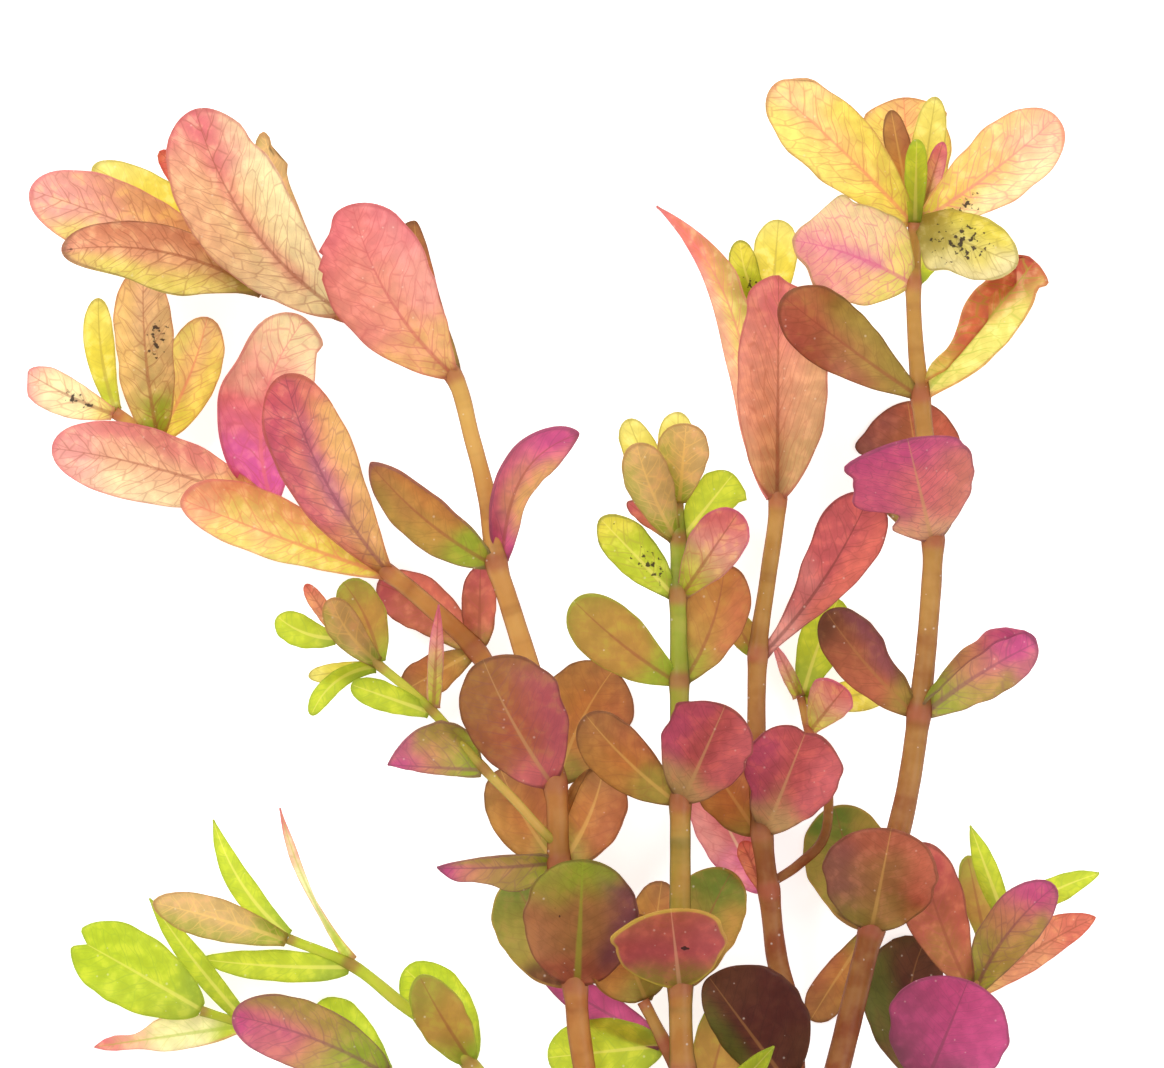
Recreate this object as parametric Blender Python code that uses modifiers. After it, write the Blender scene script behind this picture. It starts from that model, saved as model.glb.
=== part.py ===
"""A rotala: a branched aquarium stem plant, lying flat.

X is to the right, Y runs up the plant from its cut foot to its tips, Z is up from the surface it
lies on. Every leaf grows from a node of a stem, mostly in opposite pairs. A leaf is a flat grid
that is pulled into a blade along its midrib and given its thickness. The small leaves of the
growing tips are joined to the stem they grow from.
"""

import math
from typing import NamedTuple

import bmesh
import bpy
from mathutils import Vector

MM = 0.001

# Driving sizes, in millimetres.
LEAF_THICKNESS = 0.45
JOINT_GAP = 0.3
PETIOLE_HALF_WIDTH = 0.4
STEM_RING_SPACING = 8.0

# Places below are measured from the lower left corner of the view; this is the plant's middle there.
MIDDLE_X = 56.34
MIDDLE_Y = 37.17

COLOURS = {
    "tan": (0.45, 0.22, 0.08),
    "cream": (0.80, 0.62, 0.28),
    "yellow": (0.72, 0.66, 0.10),
    "green": (0.30, 0.42, 0.05),
    "olive": (0.33, 0.25, 0.07),
    "brown": (0.30, 0.10, 0.05),
    "salmon": (0.75, 0.30, 0.17),
    "pink": (0.72, 0.17, 0.22),
    "magenta": (0.50, 0.05, 0.22),
    "crimson": (0.42, 0.05, 0.08),
}
LEAF_ROUGHNESS = 0.45
STEM_ROUGHNESS = 0.5

# A stem is a path of points from its lower end to its tip: x, y, height, radius and the node's name.
# A branch starts on the axis of the stem that carries it.
STEMS = {
    "centre_stem": [
        (73.6, -24.0, 1.87, 1.9, ""),
        (73.2, -18.0, 3.6, 1.8, "root"),
        (71.4, -12.0, 6.4, 1.6, "crown"),
        (69.5, -6.0, 9.2, 1.4, "foot"),
        (68.3, 0.0, 11.3, 1.3, "shoot"),
        (68.0, 8.3, 12.5, 1.25, "first"),
        (68.0, 18.0, 12.9, 1.15, ""),
        (68.0, 26.8, 13.0, 1.1, "second"),
        (67.9, 38.8, 13.0, 1.0, "third"),
        (67.8, 47.3, 13.0, 0.9, "fourth"),
        (67.8, 53.0, 13.0, 0.8, "fifth"),
        (67.7, 56.5, 13.2, 0.6, "tip"),
    ],
    "left_stem": [
        (71.4, -12.0, 6.4, 1.3, ""),
        (67.8, -9.9, 6.9, 1.3, ""),
        (62.6, -7.4, 7.5, 1.3, ""),
        (59.3, -3.2, 8.1, 1.25, ""),
        (58.0, 2.8, 8.8, 1.25, ""),
        (57.5, 8.3, 9.2, 1.25, "first"),
        (56.7, 15.0, 9.5, 1.25, ""),
        (55.9, 20.6, 9.8, 1.2, "second"),
        (55.5, 28.5, 10.0, 1.2, "third"),
        (53.6, 37.5, 10.3, 1.2, ""),
        (50.9, 46.5, 10.5, 1.1, ""),
        (49.6, 50.6, 10.5, 1.1, "fourth"),
        (48.7, 57.0, 10.6, 1.0, ""),
        (47.2, 63.0, 10.8, 0.9, ""),
        (45.3, 69.3, 11.0, 0.9, "fifth"),
        (41.0, 73.0, 10.5, 0.7, ""),
        (34.3, 75.2, 10.0, 0.6, "sixth"),
        (26.3, 77.7, 10.0, 0.6, "tip"),
    ],
    "left_branch": [
        (55.4, 29.6, 10.0, 1.0, ""),
        (53.4, 31.8, 7.8, 1.0, ""),
        (51.0, 36.5, 6.4, 1.0, ""),
        (47.5, 41.8, 5.8, 1.0, "first"),
        (43.3, 45.8, 6.0, 1.0, ""),
        (38.6, 49.6, 6.4, 0.9, "second"),
        (32.5, 52.9, 5.8, 0.8, ""),
        (27.0, 56.2, 5.4, 0.8, "third"),
        (21.0, 59.6, 5.3, 0.7, ""),
        (15.5, 62.9, 5.7, 0.6, "fourth"),
        (11.3, 65.6, 6.1, 0.6, "tip"),
    ],
    "side_shoot": [
        (55.8, 22.2, 9.85, 0.5, ""),
        (54.0, 24.0, 11.2, 0.5, ""),
        (51.5, 26.8, 12.0, 0.5, ""),
        (48.4, 30.0, 12.6, 0.5, "first"),
        (43.2, 35.8, 13.2, 0.5, "second"),
        (37.8, 40.4, 13.4, 0.5, "third"),
        (33.8, 43.2, 13.5, 0.5, "tip"),
    ],
    "inner_stem": [
        (72.0, -13.5, 5.8, 1.2, ""),
        (74.3, -10.5, 6.7, 1.2, ""),
        (77.4, -6.5, 7.4, 1.2, ""),
        (79.3, -1.5, 8.0, 1.2, "foot"),
        (79.3, 3.0, 8.3, 1.15, ""),
        (78.9, 6.5, 8.5, 1.15, ""),
        (77.7, 11.0, 8.7, 1.15, ""),
        (76.9, 17.8, 8.9, 1.1, "first"),
        (76.2, 23.5, 9.0, 1.1, "second"),
        (75.7, 31.0, 9.1, 1.0, ""),
        (75.8, 41.4, 9.3, 1.0, "third"),
        (76.8, 49.0, 9.3, 0.9, ""),
        (77.8, 56.9, 9.4, 0.9, "fourth"),
        (77.6, 66.0, 9.0, 0.7, ""),
        (76.9, 75.5, 8.6, 0.6, "tip"),
    ],
    "back_shoot": [
        (77.4, 18.6, 8.0, 0.5, ""),
        (80.0, 20.3, 6.0, 0.55, ""),
        (82.6, 23.2, 4.6, 0.55, ""),
        (82.8, 29.0, 3.6, 0.5, ""),
        (81.0, 33.6, 3.2, 0.45, "first"),
        (80.2, 37.0, 3.0, 0.4, "tip"),
    ],
    "right_stem": [
        (73.0, -17.0, 4.1, 1.4, ""),
        (76.0, -15.6, 5.0, 1.4, ""),
        (79.3, -12.0, 6.0, 1.4, ""),
        (82.2, -5.5, 7.5, 1.4, "foot"),
        (83.8, 0.0, 8.3, 1.4, ""),
        (85.5, 7.0, 9.0, 1.35, ""),
        (87.2, 13.9, 9.5, 1.3, "first"),
        (89.3, 21.5, 9.9, 1.3, ""),
        (90.8, 28.0, 10.1, 1.25, ""),
        (91.9, 35.5, 10.3, 1.2, "second"),
        (92.8, 44.0, 10.4, 1.1, ""),
        (93.3, 52.8, 10.5, 1.1, "third"),
        (92.8, 60.0, 10.6, 1.0, ""),
        (92.0, 67.4, 10.7, 1.0, "fourth"),
        (91.5, 73.0, 10.8, 0.85, ""),
        (91.3, 78.5, 10.9, 0.8, "fifth"),
        (91.5, 84.5, 11.0, 0.7, "tip"),
    ],
    "right_side_shoot": [
        (82.3, -5.3, 7.5, 0.8, ""),
        (84.8, -5.2, 7.8, 0.8, ""),
        (88.0, -4.0, 8.2, 0.8, ""),
        (92.8, -1.6, 8.6, 0.8, "first"),
        (95.2, 3.4, 9.0, 0.8, ""),
        (97.3, 7.8, 9.4, 0.7, "second"),
        (99.0, 11.8, 9.6, 0.6, "third"),
        (100.6, 15.0, 9.8, 0.5, "tip"),
    ],
    "low_left_shoot": [
        (73.3, -19.4, 3.1, 0.9, ""),
        (70.6, -18.2, 3.4, 0.9, ""),
        (62.0, -13.6, 3.8, 0.9, ""),
        (53.5, -6.5, 4.2, 0.9, ""),
        (46.9, 0.2, 4.6, 0.8, "first"),
        (43.4, 3.8, 4.9, 0.7, ""),
        (40.0, 6.3, 5.2, 0.7, ""),
        (35.0, 10.2, 5.6, 0.6, "second"),
        (28.7, 12.8, 5.9, 0.5, "tip"),
    ],
    "low_left_fork": [
        (53.5, -6.5, 4.2, 0.7, ""),
        (51.0, -6.4, 4.1, 0.7, ""),
        (45.0, -4.3, 3.8, 0.7, ""),
        (38.6, -0.8, 3.7, 0.7, "first"),
        (31.0, 2.6, 3.7, 0.6, ""),
        (24.3, 4.2, 3.7, 0.5, "second"),
        (19.9, 5.5, 3.8, 0.5, "tip"),
    ],
    "low_twig": [
        (68.2, -1.6, 10.6, 0.7, ""),
        (66.5, 2.4, 10.3, 0.7, "first"),
        (64.3, 6.7, 10.0, 0.6, "tip"),
    ],
}
CARRIERS = {
    "left_stem": "centre_stem",
    "left_branch": "left_stem",
    "side_shoot": "left_stem",
    "inner_stem": "centre_stem",
    "right_stem": "centre_stem",
    "right_side_shoot": "right_stem",
    "low_left_shoot": "centre_stem",
    "low_left_fork": "low_left_shoot",
}
# A twig is short enough to be one solid with the stem that it leaves.
TWIGS = {"back_shoot": "inner_stem", "low_twig": "centre_stem"}


class Leaf(NamedTuple):
    """A leaf on the node of a stem. Lengths are in millimetres, left and right as seen going out."""

    name: str
    stem: str
    node: str
    tip: tuple
    half: tuple  # widest half-widths, left and right of the midrib
    colour: str
    bend: float = 0.0  # the midrib's bow to the left
    skew: float = 0.0  # 1 puts the bow near the tip, -1 near the base
    arch: float = 0.0  # the midrib's bow upwards
    tilt: float = 0.0  # how much each mm to the right rises
    fold: float = 0.1  # how much each mm away from the midrib rises
    front: float = 0.0  # 0 starts at the side of the stem that faces the tip, 3 on top of the stem
    taper: float = 1.0  # 0.5 is a round base, 1.3 a long narrow one
    point: float = 0.5  # 0.5 is a round tip, 1.0 a pointed one


# Each large leaf is a solid of its own.
LARGE_LEAVES = [
    # left stem, from its tip down
    Leaf("left_tip_front_leaf", "left_stem", "sixth", (19.8, 95.6, 18.0), (5.2, 5.2), "pink",
         bend=2.4, arch=1.5, tilt=0.1, taper=0.9),
    Leaf("left_tip_upper_leaf", "left_stem", "tip", (3.0, 87.8, 10.5), (3.8, 3.8), "salmon",
         bend=-0.6, arch=1.0, taper=1.1),
    Leaf("left_tip_lower_leaf", "left_stem", "tip", (6.4, 81.6, 14.5), (2.7, 2.7), "salmon",
         bend=-1.9, arch=1.5, tilt=-0.15, taper=0.9),
    Leaf("left_tip_back_leaf", "left_stem", "tip", (9.2, 90.2, 8.5), (2.4, 2.6), "yellow",
         bend=-0.6, taper=0.9),
    Leaf("left_upper_front_leaf", "left_stem", "fifth", (35.4, 86.2, 18.0), (5.4, 5.2), "pink",
         bend=1.6, arch=1.2, tilt=0.1, taper=0.9),
    Leaf("left_upper_back_leaf", "left_stem", "fifth", (41.3, 85.0, -6.8), (3.6, 1.3), "brown",
         bend=0.8, fold=0.0, taper=0.6),
    Leaf("left_middle_left_leaf", "left_stem", "fourth", (37.1, 60.5, 15.0), (2.5, 2.4), "olive",
         bend=0.8, tilt=0.5, taper=0.8, point=0.7),
    Leaf("left_middle_right_leaf", "left_stem", "fourth", (57.9, 63.4, 12.6), (2.4, 2.4), "magenta",
         bend=2.6, skew=0.3, tilt=-0.4, taper=1.0, point=0.65),
    Leaf("left_node_front_leaf", "left_stem", "third", (48.4, 40.9, 18.5), (4.4, 5.6), "brown",
         bend=0.4, arch=1.0, tilt=0.1, taper=0.75),
    Leaf("left_node_back_leaf", "left_stem", "third", (61.4, 39.8, -6.0), (4.7, 4.7), "brown",
         bend=0.6, fold=0.0, taper=0.75),
    Leaf("left_low_right_leaf", "left_stem", "second", (60.4, 30.0, 8.2), (3.0, 3.2), "salmon",
         bend=-0.6, tilt=0.3, taper=0.7),
    Leaf("left_low_left_leaf", "left_stem", "second", (43.8, 20.1, 11.5), (2.6, 1.0), "olive",
         bend=0.2, tilt=0.5, taper=0.7, point=0.8),
    Leaf("left_foot_back_leaf", "left_stem", "first", (51.2, 18.8, 3.0), (4.2, 3.8), "olive",
         taper=0.7),
    Leaf("left_foot_front_leaf", "left_stem", "first", (58.3, 21.0, 16.0), (5.6, 5.8), "brown",
         arch=0.6, taper=0.62),
    # left branch
    Leaf("branch_front_leaf", "left_branch", "second", (28.6, 69.3, 15.5), (3.9, 4.1), "magenta",
         bend=1.3, arch=1.0, taper=1.0, front=2.0),
    Leaf("branch_lower_leaf", "left_branch", "second", (18.1, 56.9, 10.5), (2.4, 4.0), "cream",
         bend=0.2, arch=0.4, taper=1.0, front=0.5),
    Leaf("branch_upper_leaf", "left_branch", "third", (30.6, 74.9, 11.5), (4.8, 4.4), "pink",
         bend=2.6, arch=0.8, taper=0.75, front=0.5),
    Leaf("branch_left_leaf", "left_branch", "third", (5.2, 62.0, 11.0), (3.7, 3.8), "pink",
         bend=-0.8, arch=1.0, taper=0.9, front=0.6),
    Leaf("branch_upright_leaf", "left_branch", "fourth", (14.4, 80.0, 11.0), (3.3, 3.0), "salmon",
         bend=0.5, arch=0.8, taper=0.7),
    # centre stem
    Leaf("centre_left_leaf", "centre_stem", "third", (57.4, 46.8, 15.0), (3.2, 3.0), "olive",
         bend=0.4, tilt=0.3, taper=0.9),
    Leaf("centre_right_leaf", "centre_stem", "third", (72.4, 50.4, 11.5), (3.0, 3.2), "olive",
         bend=-0.8, tilt=-0.3, taper=1.0),
    Leaf("centre_node_left_leaf", "centre_stem", "second", (58.6, 35.4, 15.5), (3.2, 2.6), "olive",
         bend=0.4, tilt=0.3, taper=0.9),
    Leaf("centre_node_front_leaf", "centre_stem", "second", (72.4, 36.4, 21.0), (4.6, 4.4), "crimson",
         arch=0.5, taper=0.8),
    Leaf("centre_low_front_leaf", "centre_stem", "first", (67.0, 16.2, 22.0), (5.8, 5.2), "pink",
         arch=0.5, taper=0.75),
    Leaf("centre_low_back_leaf", "centre_stem", "first", (73.2, 19.6, 7.5), (3.9, 3.4), "olive",
         bend=0.4, fold=0.0, taper=0.75),
    # inner stem
    Leaf("inner_tip_front_leaf", "inner_stem", "fourth", (77.8, 79.2, 14.0), (4.1, 5.0), "pink",
         arch=1.2, taper=0.75, point=0.6),
    Leaf("inner_tip_left_leaf", "inner_stem", "fourth", (65.6, 86.1, 12.0), (1.8, 2.6), "pink",
         bend=-2.8, skew=0.7, arch=1.0, tilt=0.2, taper=0.8, point=1.0),
    Leaf("inner_right_leaf", "inner_stem", "third", (87.0, 57.4, 8.0), (3.4, 3.4), "crimson",
         bend=-0.9, tilt=-0.2, taper=1.6, point=0.5),
    Leaf("inner_low_front_leaf", "inner_stem", "second", (80.6, 34.0, 15.0), (4.6, 5.0), "crimson",
         arch=0.6, taper=0.9),
    Leaf("inner_low_left_leaf", "inner_stem", "first", (70.8, 29.0, 2.5), (3.2, 3.0), "pink",
         bend=0.5, taper=0.75),
    Leaf("inner_foot_leaf", "inner_stem", "foot", (70.9, 9.2, 12.0), (3.0, 6.2), "crimson",
         arch=1.5, tilt=0.35, taper=0.62),
    # right stem
    Leaf("right_tip_left_leaf", "right_stem", "tip", (77.1, 98.0, 14.0), (3.8, 3.8), "salmon",
         bend=-0.3, arch=1.0, taper=0.95),
    Leaf("right_tip_back_leaf", "right_stem", "tip", (90.6, 97.4, -6.8), (4.3, 4.3), "salmon",
         fold=0.0, taper=0.8),
    Leaf("right_tip_right_leaf", "right_stem", "tip", (105.6, 95.0, 13.5), (3.8, 3.8), "pink",
         bend=-0.4, arch=0.8, taper=1.0),
    Leaf("right_tip_lower_leaf", "right_stem", "tip", (101.5, 80.2, 17.0), (3.0, 3.2), "yellow",
         arch=1.0, taper=0.75, point=0.6),
    Leaf("right_upper_front_leaf", "right_stem", "fifth", (79.1, 82.6, 18.0), (4.8, 5.2), "cream",
         bend=-0.6, arch=1.0, taper=0.75, point=0.7),
    Leaf("right_upper_left_leaf", "right_stem", "fourth", (78.2, 77.0, 18.2), (3.4, 3.6), "olive",
         bend=0.2, arch=0.5, tilt=0.2, taper=1.1),
    Leaf("right_upper_right_leaf", "right_stem", "fourth", (103.4, 80.6, 12.5), (3.2, 2.8), "crimson",
         bend=-0.2, tilt=0.4, taper=1.0, point=0.7),
    Leaf("right_middle_front_leaf", "right_stem", "third", (90.5, 62.8, 20.0), (6.4, 5.8), "magenta",
         arch=0.6, taper=0.9),
    Leaf("right_middle_back_leaf", "right_stem", "third", (91.0, 66.8, -6.4), (5.4, 4.6), "brown",
         fold=0.0, taper=0.75),
    Leaf("right_lower_left_leaf", "right_stem", "second", (82.6, 45.7, 12.0), (2.8, 2.9), "brown",
         bend=0.4, tilt=0.3, taper=0.9),
    Leaf("right_lower_right_leaf", "right_stem", "second", (103.6, 42.6, 12.0), (3.0, 2.8), "magenta",
         bend=0.4, tilt=-0.3, taper=0.9),
    Leaf("right_low_back_leaf", "right_stem", "first", (83.6, 26.0, -5.8), (4.4, 4.2), "olive",
         fold=0.0, taper=0.7),
    Leaf("right_low_front_leaf", "right_stem", "first", (88.9, 24.1, 19.0), (5.8, 5.6), "brown",
         arch=0.6, taper=0.65),
    # side shoots
    Leaf("shoot_front_leaf", "right_side_shoot", "first", (96.6, 9.0, 17.0), (6.0, 6.0), "magenta",
         arch=0.8, taper=0.65),
    Leaf("shoot_upright_leaf", "right_side_shoot", "second", (91.7, 22.6, 13.5), (3.4, 3.0), "crimson",
         bend=0.5, arch=0.6, tilt=0.2, taper=1.0),
    Leaf("low_left_heart_leaf", "low_left_fork", "tip", (7.0, 12.8, -1.8), (3.9, 3.9), "green",
         taper=0.75),
    Leaf("low_left_pink_leaf", "low_left_fork", "first", (23.2, 5.2, 9.0), (3.4, 3.4), "magenta",
         bend=-0.8, arch=1.0, taper=0.75),
]

# Each small leaf is one solid with its stem.
SMALL_LEAVES = [
    # left stem
    Leaf("left_tip_sliver", "left_stem", "sixth", (15.6, 92.0, -6.4), (2.0, 2.0), "salmon",
         bend=0.4, fold=0.0),
    Leaf("left_tip_torn_leaf", "left_stem", "sixth", (26.2, 93.8, 4.0), (2.0, 1.0), "tan", bend=0.9),
    Leaf("left_low_back_leaf", "left_stem", "second", (50.0, 29.8, 4.5), (3.2, 3.2), "salmon",
         bend=0.4, taper=0.75),
    # left branch
    Leaf("branch_axil_leaf", "left_branch", "first", (48.0, 50.2, 4.5), (1.8, 1.6), "crimson",
         taper=0.7),
    Leaf("branch_axil_back_leaf", "left_branch", "first", (37.6, 48.4, 2.0), (2.8, 2.6), "crimson",
         bend=-1.0),
    Leaf("branch_axil_brown_leaf", "left_branch", "first", (40.2, 37.6, 5.0), (2.0, 2.0), "brown"),
    Leaf("branch_yellow_leaf", "left_branch", "fourth", (20.6, 75.2, 5.0), (3.0, 2.8), "yellow",
         bend=-0.6, taper=0.7),
    Leaf("branch_green_leaf", "left_branch", "tip", (9.5, 77.2, -3.0), (1.6, 1.4), "green", bend=0.6),
    Leaf("branch_cream_leaf", "left_branch", "tip", (2.6, 69.6, 8.5), (2.3, 1.8), "cream", bend=0.3),
    # side shoot
    Leaf("shoot_folded_leaf", "side_shoot", "first", (38.8, 30.4, 14.0), (0.6, 4.8), "magenta",
         taper=0.7, point=0.9),
    Leaf("shoot_needle", "side_shoot", "second", (43.9, 46.4, 13.6), (0.7, 0.7), "pink", point=1.0),
    Leaf("shoot_low_leaf", "side_shoot", "second", (35.2, 38.4, 14.6), (1.5, 1.4), "green"),
    Leaf("shoot_olive_leaf", "side_shoot", "third", (34.4, 48.6, 14.4), (2.2, 2.2), "olive", bend=-0.6),
    Leaf("shoot_tan_leaf", "side_shoot", "third", (33.2, 47.0, 16.0), (1.7, 1.7), "tan", bend=0.6),
    Leaf("shoot_yellow_leaf", "side_shoot", "third", (30.9, 39.2, 13.0), (0.9, 0.9), "yellow"),
    Leaf("shoot_curled_leaf", "side_shoot", "third", (31.2, 35.3, 14.0), (1.0, 1.0), "green",
         bend=-1.2),
    Leaf("shoot_green_leaf", "side_shoot", "tip", (27.8, 45.2, 13.0), (1.6, 1.6), "green", bend=0.6),
    Leaf("shoot_salmon_leaf", "side_shoot", "tip", (30.6, 48.4, 13.4), (0.8, 0.8), "salmon"),
    # centre stem
    Leaf("centre_pink_leaf", "centre_stem", "fourth", (73.8, 55.6, 17.0), (2.8, 2.6), "pink",
         arch=0.5, tilt=0.1),
    Leaf("centre_spotted_leaf", "centre_stem", "fourth", (60.0, 55.0, 14.0), (2.2, 2.4), "yellow",
         tilt=0.2, point=0.6),
    Leaf("centre_tan_leaf", "centre_stem", "fifth", (63.6, 62.4, 17.5), (2.2, 2.4), "tan", bend=0.4),
    Leaf("centre_green_leaf", "centre_stem", "fifth", (73.3, 59.4, 11.5), (2.2, 2.2), "green"),
    Leaf("centre_red_leaf", "centre_stem", "fifth", (62.7, 56.6, 12.4), (0.8, 0.8), "crimson"),
    Leaf("centre_bud_leaf", "centre_stem", "tip", (68.6, 64.4, 15.0), (2.7, 2.5), "green"),
    Leaf("centre_yellow_leaf", "centre_stem", "tip", (62.8, 64.9, 12.0), (1.8, 1.6), "yellow",
         bend=0.4),
    Leaf("centre_top_leaf", "centre_stem", "tip", (67.8, 65.6, 11.0), (2.0, 1.6), "yellow"),
    Leaf("centre_foot_leaf", "centre_stem", "foot", (73.2, 7.0, 8.0), (2.6, 2.6), "olive"),
    Leaf("centre_foot_green_leaf", "centre_stem", "foot", (77.3, 2.4, 16.0), (1.3, 1.3), "green",
         point=0.9),
    # low twig
    Leaf("twig_front_leaf", "low_twig", "tip", (61.2, 15.2, 9.0), (4.2, 4.4), "brown",
         tilt=-0.15, taper=0.6),
    Leaf("twig_back_leaf", "low_twig", "tip", (66.2, 18.5, 4.0), (2.6, 2.4), "brown"),
    Leaf("twig_magenta_leaf", "low_twig", "first", (54.0, 9.1, 3.5), (1.6, 1.8), "magenta",
         arch=-0.6, point=0.8),
    Leaf("twig_green_leaf", "low_twig", "first", (54.8, 0.8, 4.0), (3.4, 3.4), "green", taper=0.75),
    # inner stem
    Leaf("inner_bud_leaf", "inner_stem", "tip", (77.9, 84.9, 7.0), (2.2, 2.2), "yellow"),
    Leaf("inner_bud_green_leaf", "inner_stem", "tip", (74.0, 82.8, 10.0), (1.4, 1.4), "green",
         bend=0.6),
    Leaf("inner_bud_spotted_leaf", "inner_stem", "tip", (73.0, 79.4, 8.0), (1.5, 1.5), "yellow"),
    Leaf("inner_low_back_leaf", "inner_stem", "second", (70.2, 31.6, 6.5), (3.0, 3.2), "brown",
         taper=0.75),
    Leaf("inner_middle_leaf", "inner_stem", "third", (73.4, 45.0, 7.5), (1.4, 1.4), "olive"),
    Leaf("inner_low_strip_leaf", "inner_stem", "first", (74.2, 22.6, 7.6), (1.0, 1.2), "salmon"),
    # back shoot
    Leaf("back_green_leaf", "back_shoot", "tip", (84.0, 46.9, 3.0), (2.2, 2.4), "green", bend=0.3),
    Leaf("back_yellow_leaf", "back_shoot", "tip", (90.0, 38.8, 2.0), (1.7, 1.7), "yellow", bend=-0.8),
    Leaf("back_pink_strip", "back_shoot", "tip", (77.4, 42.6, 3.6), (0.6, 0.6), "pink", point=1.0),
    Leaf("back_magenta_leaf", "back_shoot", "first", (84.6, 38.0, 5.4), (2.8, 1.8), "magenta",
         taper=1.2),
    # right stem
    Leaf("right_bud_brown_leaf", "right_stem", "tip", (89.1, 95.8, 9.5), (1.3, 1.3), "brown"),
    Leaf("right_bud_yellow_leaf", "right_stem", "tip", (93.6, 97.2, 8.0), (1.6, 1.6), "yellow"),
    Leaf("right_bud_green_leaf", "right_stem", "tip", (91.6, 92.8, 12.6), (1.1, 1.1), "green"),
    Leaf("right_bud_pink_leaf", "right_stem", "tip", (94.3, 92.6, 10.6), (0.9, 0.9), "pink"),
    Leaf("right_back_green_leaf", "right_stem", "fifth", (92.9, 83.0, 8.0), (1.8, 1.8), "green"),
    Leaf("right_low_hanging_leaf", "right_stem", "first", (81.2, 4.4, -4.0), (2.2, 1.8), "brown",
         taper=1.2),
    # right side shoot
    Leaf("shoot_back_leaf", "right_side_shoot", "first", (92.8, 12.6, -5.4), (4.6, 3.2), "brown",
         bend=1.6, fold=0.0, taper=0.9),
    Leaf("shoot_olive_right_leaf", "right_side_shoot", "second", (105.4, 18.3, 13.5), (2.8, 2.6),
         "olive", bend=0.9, taper=0.8),
    Leaf("shoot_coral_leaf", "right_side_shoot", "second", (109.7, 15.0, 7.0), (2.4, 1.6), "salmon",
         bend=0.4, taper=0.75, point=0.7),
    Leaf("shoot_strip_leaf", "right_side_shoot", "third", (96.8, 21.2, 8.0), (1.4, 1.4), "olive"),
    Leaf("shoot_green_needle", "right_side_shoot", "tip", (97.0, 24.3, 10.6), (1.1, 1.1), "green",
         point=1.0),
    Leaf("shoot_green_blade", "right_side_shoot", "tip", (110.1, 19.5, 9.8), (1.3, 1.3), "green",
         bend=0.5, point=0.9),
    # low left shoot
    Leaf("low_left_green_leaf", "low_left_shoot", "first", (40.3, 9.6, -3.0), (3.0, 3.1), "green",
         bend=-0.8, fold=0.0, taper=0.8),
    Leaf("low_left_olive_leaf", "low_left_shoot", "first", (41.9, 9.2, 8.0), (2.6, 2.4), "olive",
         bend=0.2, taper=0.8, point=0.6),
    Leaf("low_left_thread_leaf", "low_left_shoot", "second", (27.9, 26.0, 6.4), (0.6, 0.5), "pink",
         bend=0.9, point=0.9),
    Leaf("low_left_strap_leaf", "low_left_shoot", "second", (19.8, 10.7, 3.6), (1.5, 1.5), "green",
         bend=0.3, taper=0.7, point=0.7),
    Leaf("low_left_needle", "low_left_shoot", "tip", (21.2, 24.8, 6.0), (1.3, 1.1), "green",
         bend=1.1, point=1.0),
    Leaf("low_left_tan_leaf", "low_left_shoot", "tip", (15.2, 16.5, 8.0), (2.2, 2.0), "tan",
         bend=-0.2, point=0.6),
    # low left fork
    Leaf("low_left_back_leaf", "low_left_fork", "first", (31.6, 6.2, -1.0), (2.4, 2.4), "green"),
    Leaf("low_left_narrow_leaf", "low_left_fork", "second", (14.8, 16.9, 6.5), (1.1, 1.1), "green",
         bend=0.3, point=0.9),
    Leaf("low_left_tailed_leaf", "low_left_fork", "second", (9.0, 1.7, -1.0), (1.5, 1.9), "pink",
         point=0.9),
]

LARGE_LEAF_GRID = (4, 3)
SMALL_LEAF_GRID = (2, 3)


def clear_scene():
    for obj in list(bpy.data.objects):
        bpy.data.objects.remove(obj)


def new_collection(name):
    collection = bpy.data.collections.new(name)
    bpy.context.scene.collection.children.link(collection)
    return collection


def plant_material(name, colour, roughness):
    material = bpy.data.materials.new(name)
    material.use_nodes = True
    shader = material.node_tree.nodes["Principled BSDF"]
    shader.inputs["Base Color"].default_value = (*colour, 1.0)
    shader.inputs["Roughness"].default_value = roughness
    shader.inputs["Metallic"].default_value = 0.0
    return material


def placed(x, y, height):
    """A place on the plant, in metres from the middle of its footprint."""
    return Vector((x - MIDDLE_X, y - MIDDLE_Y, height)) * MM


def on_curve(before, start, end, after, share):
    """A point on the smooth curve through start and end (Catmull-Rom)."""
    return 0.5 * (
        2 * start
        + (end - before) * share
        + (2 * before - 5 * start + 4 * end - after) * share**2
        + (3 * start - before - 3 * end + after) * share**3
    )


def stem_rings(path):
    """Centres and radii along the smooth stem, about STEM_RING_SPACING apart."""
    points = [Vector((*row[:3], row[3])) for row in path]
    padded = [2 * points[0] - points[1], *points, 2 * points[-1] - points[-2]]
    rings = [points[0]]
    for index in range(1, len(points)):
        before, start, end, after = padded[index - 1 : index + 3]
        steps = max(1, round((end - start).length / STEM_RING_SPACING))
        for step in range(1, steps + 1):
            rings.append(on_curve(before, start, end, after, step / steps))
    return rings


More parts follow.
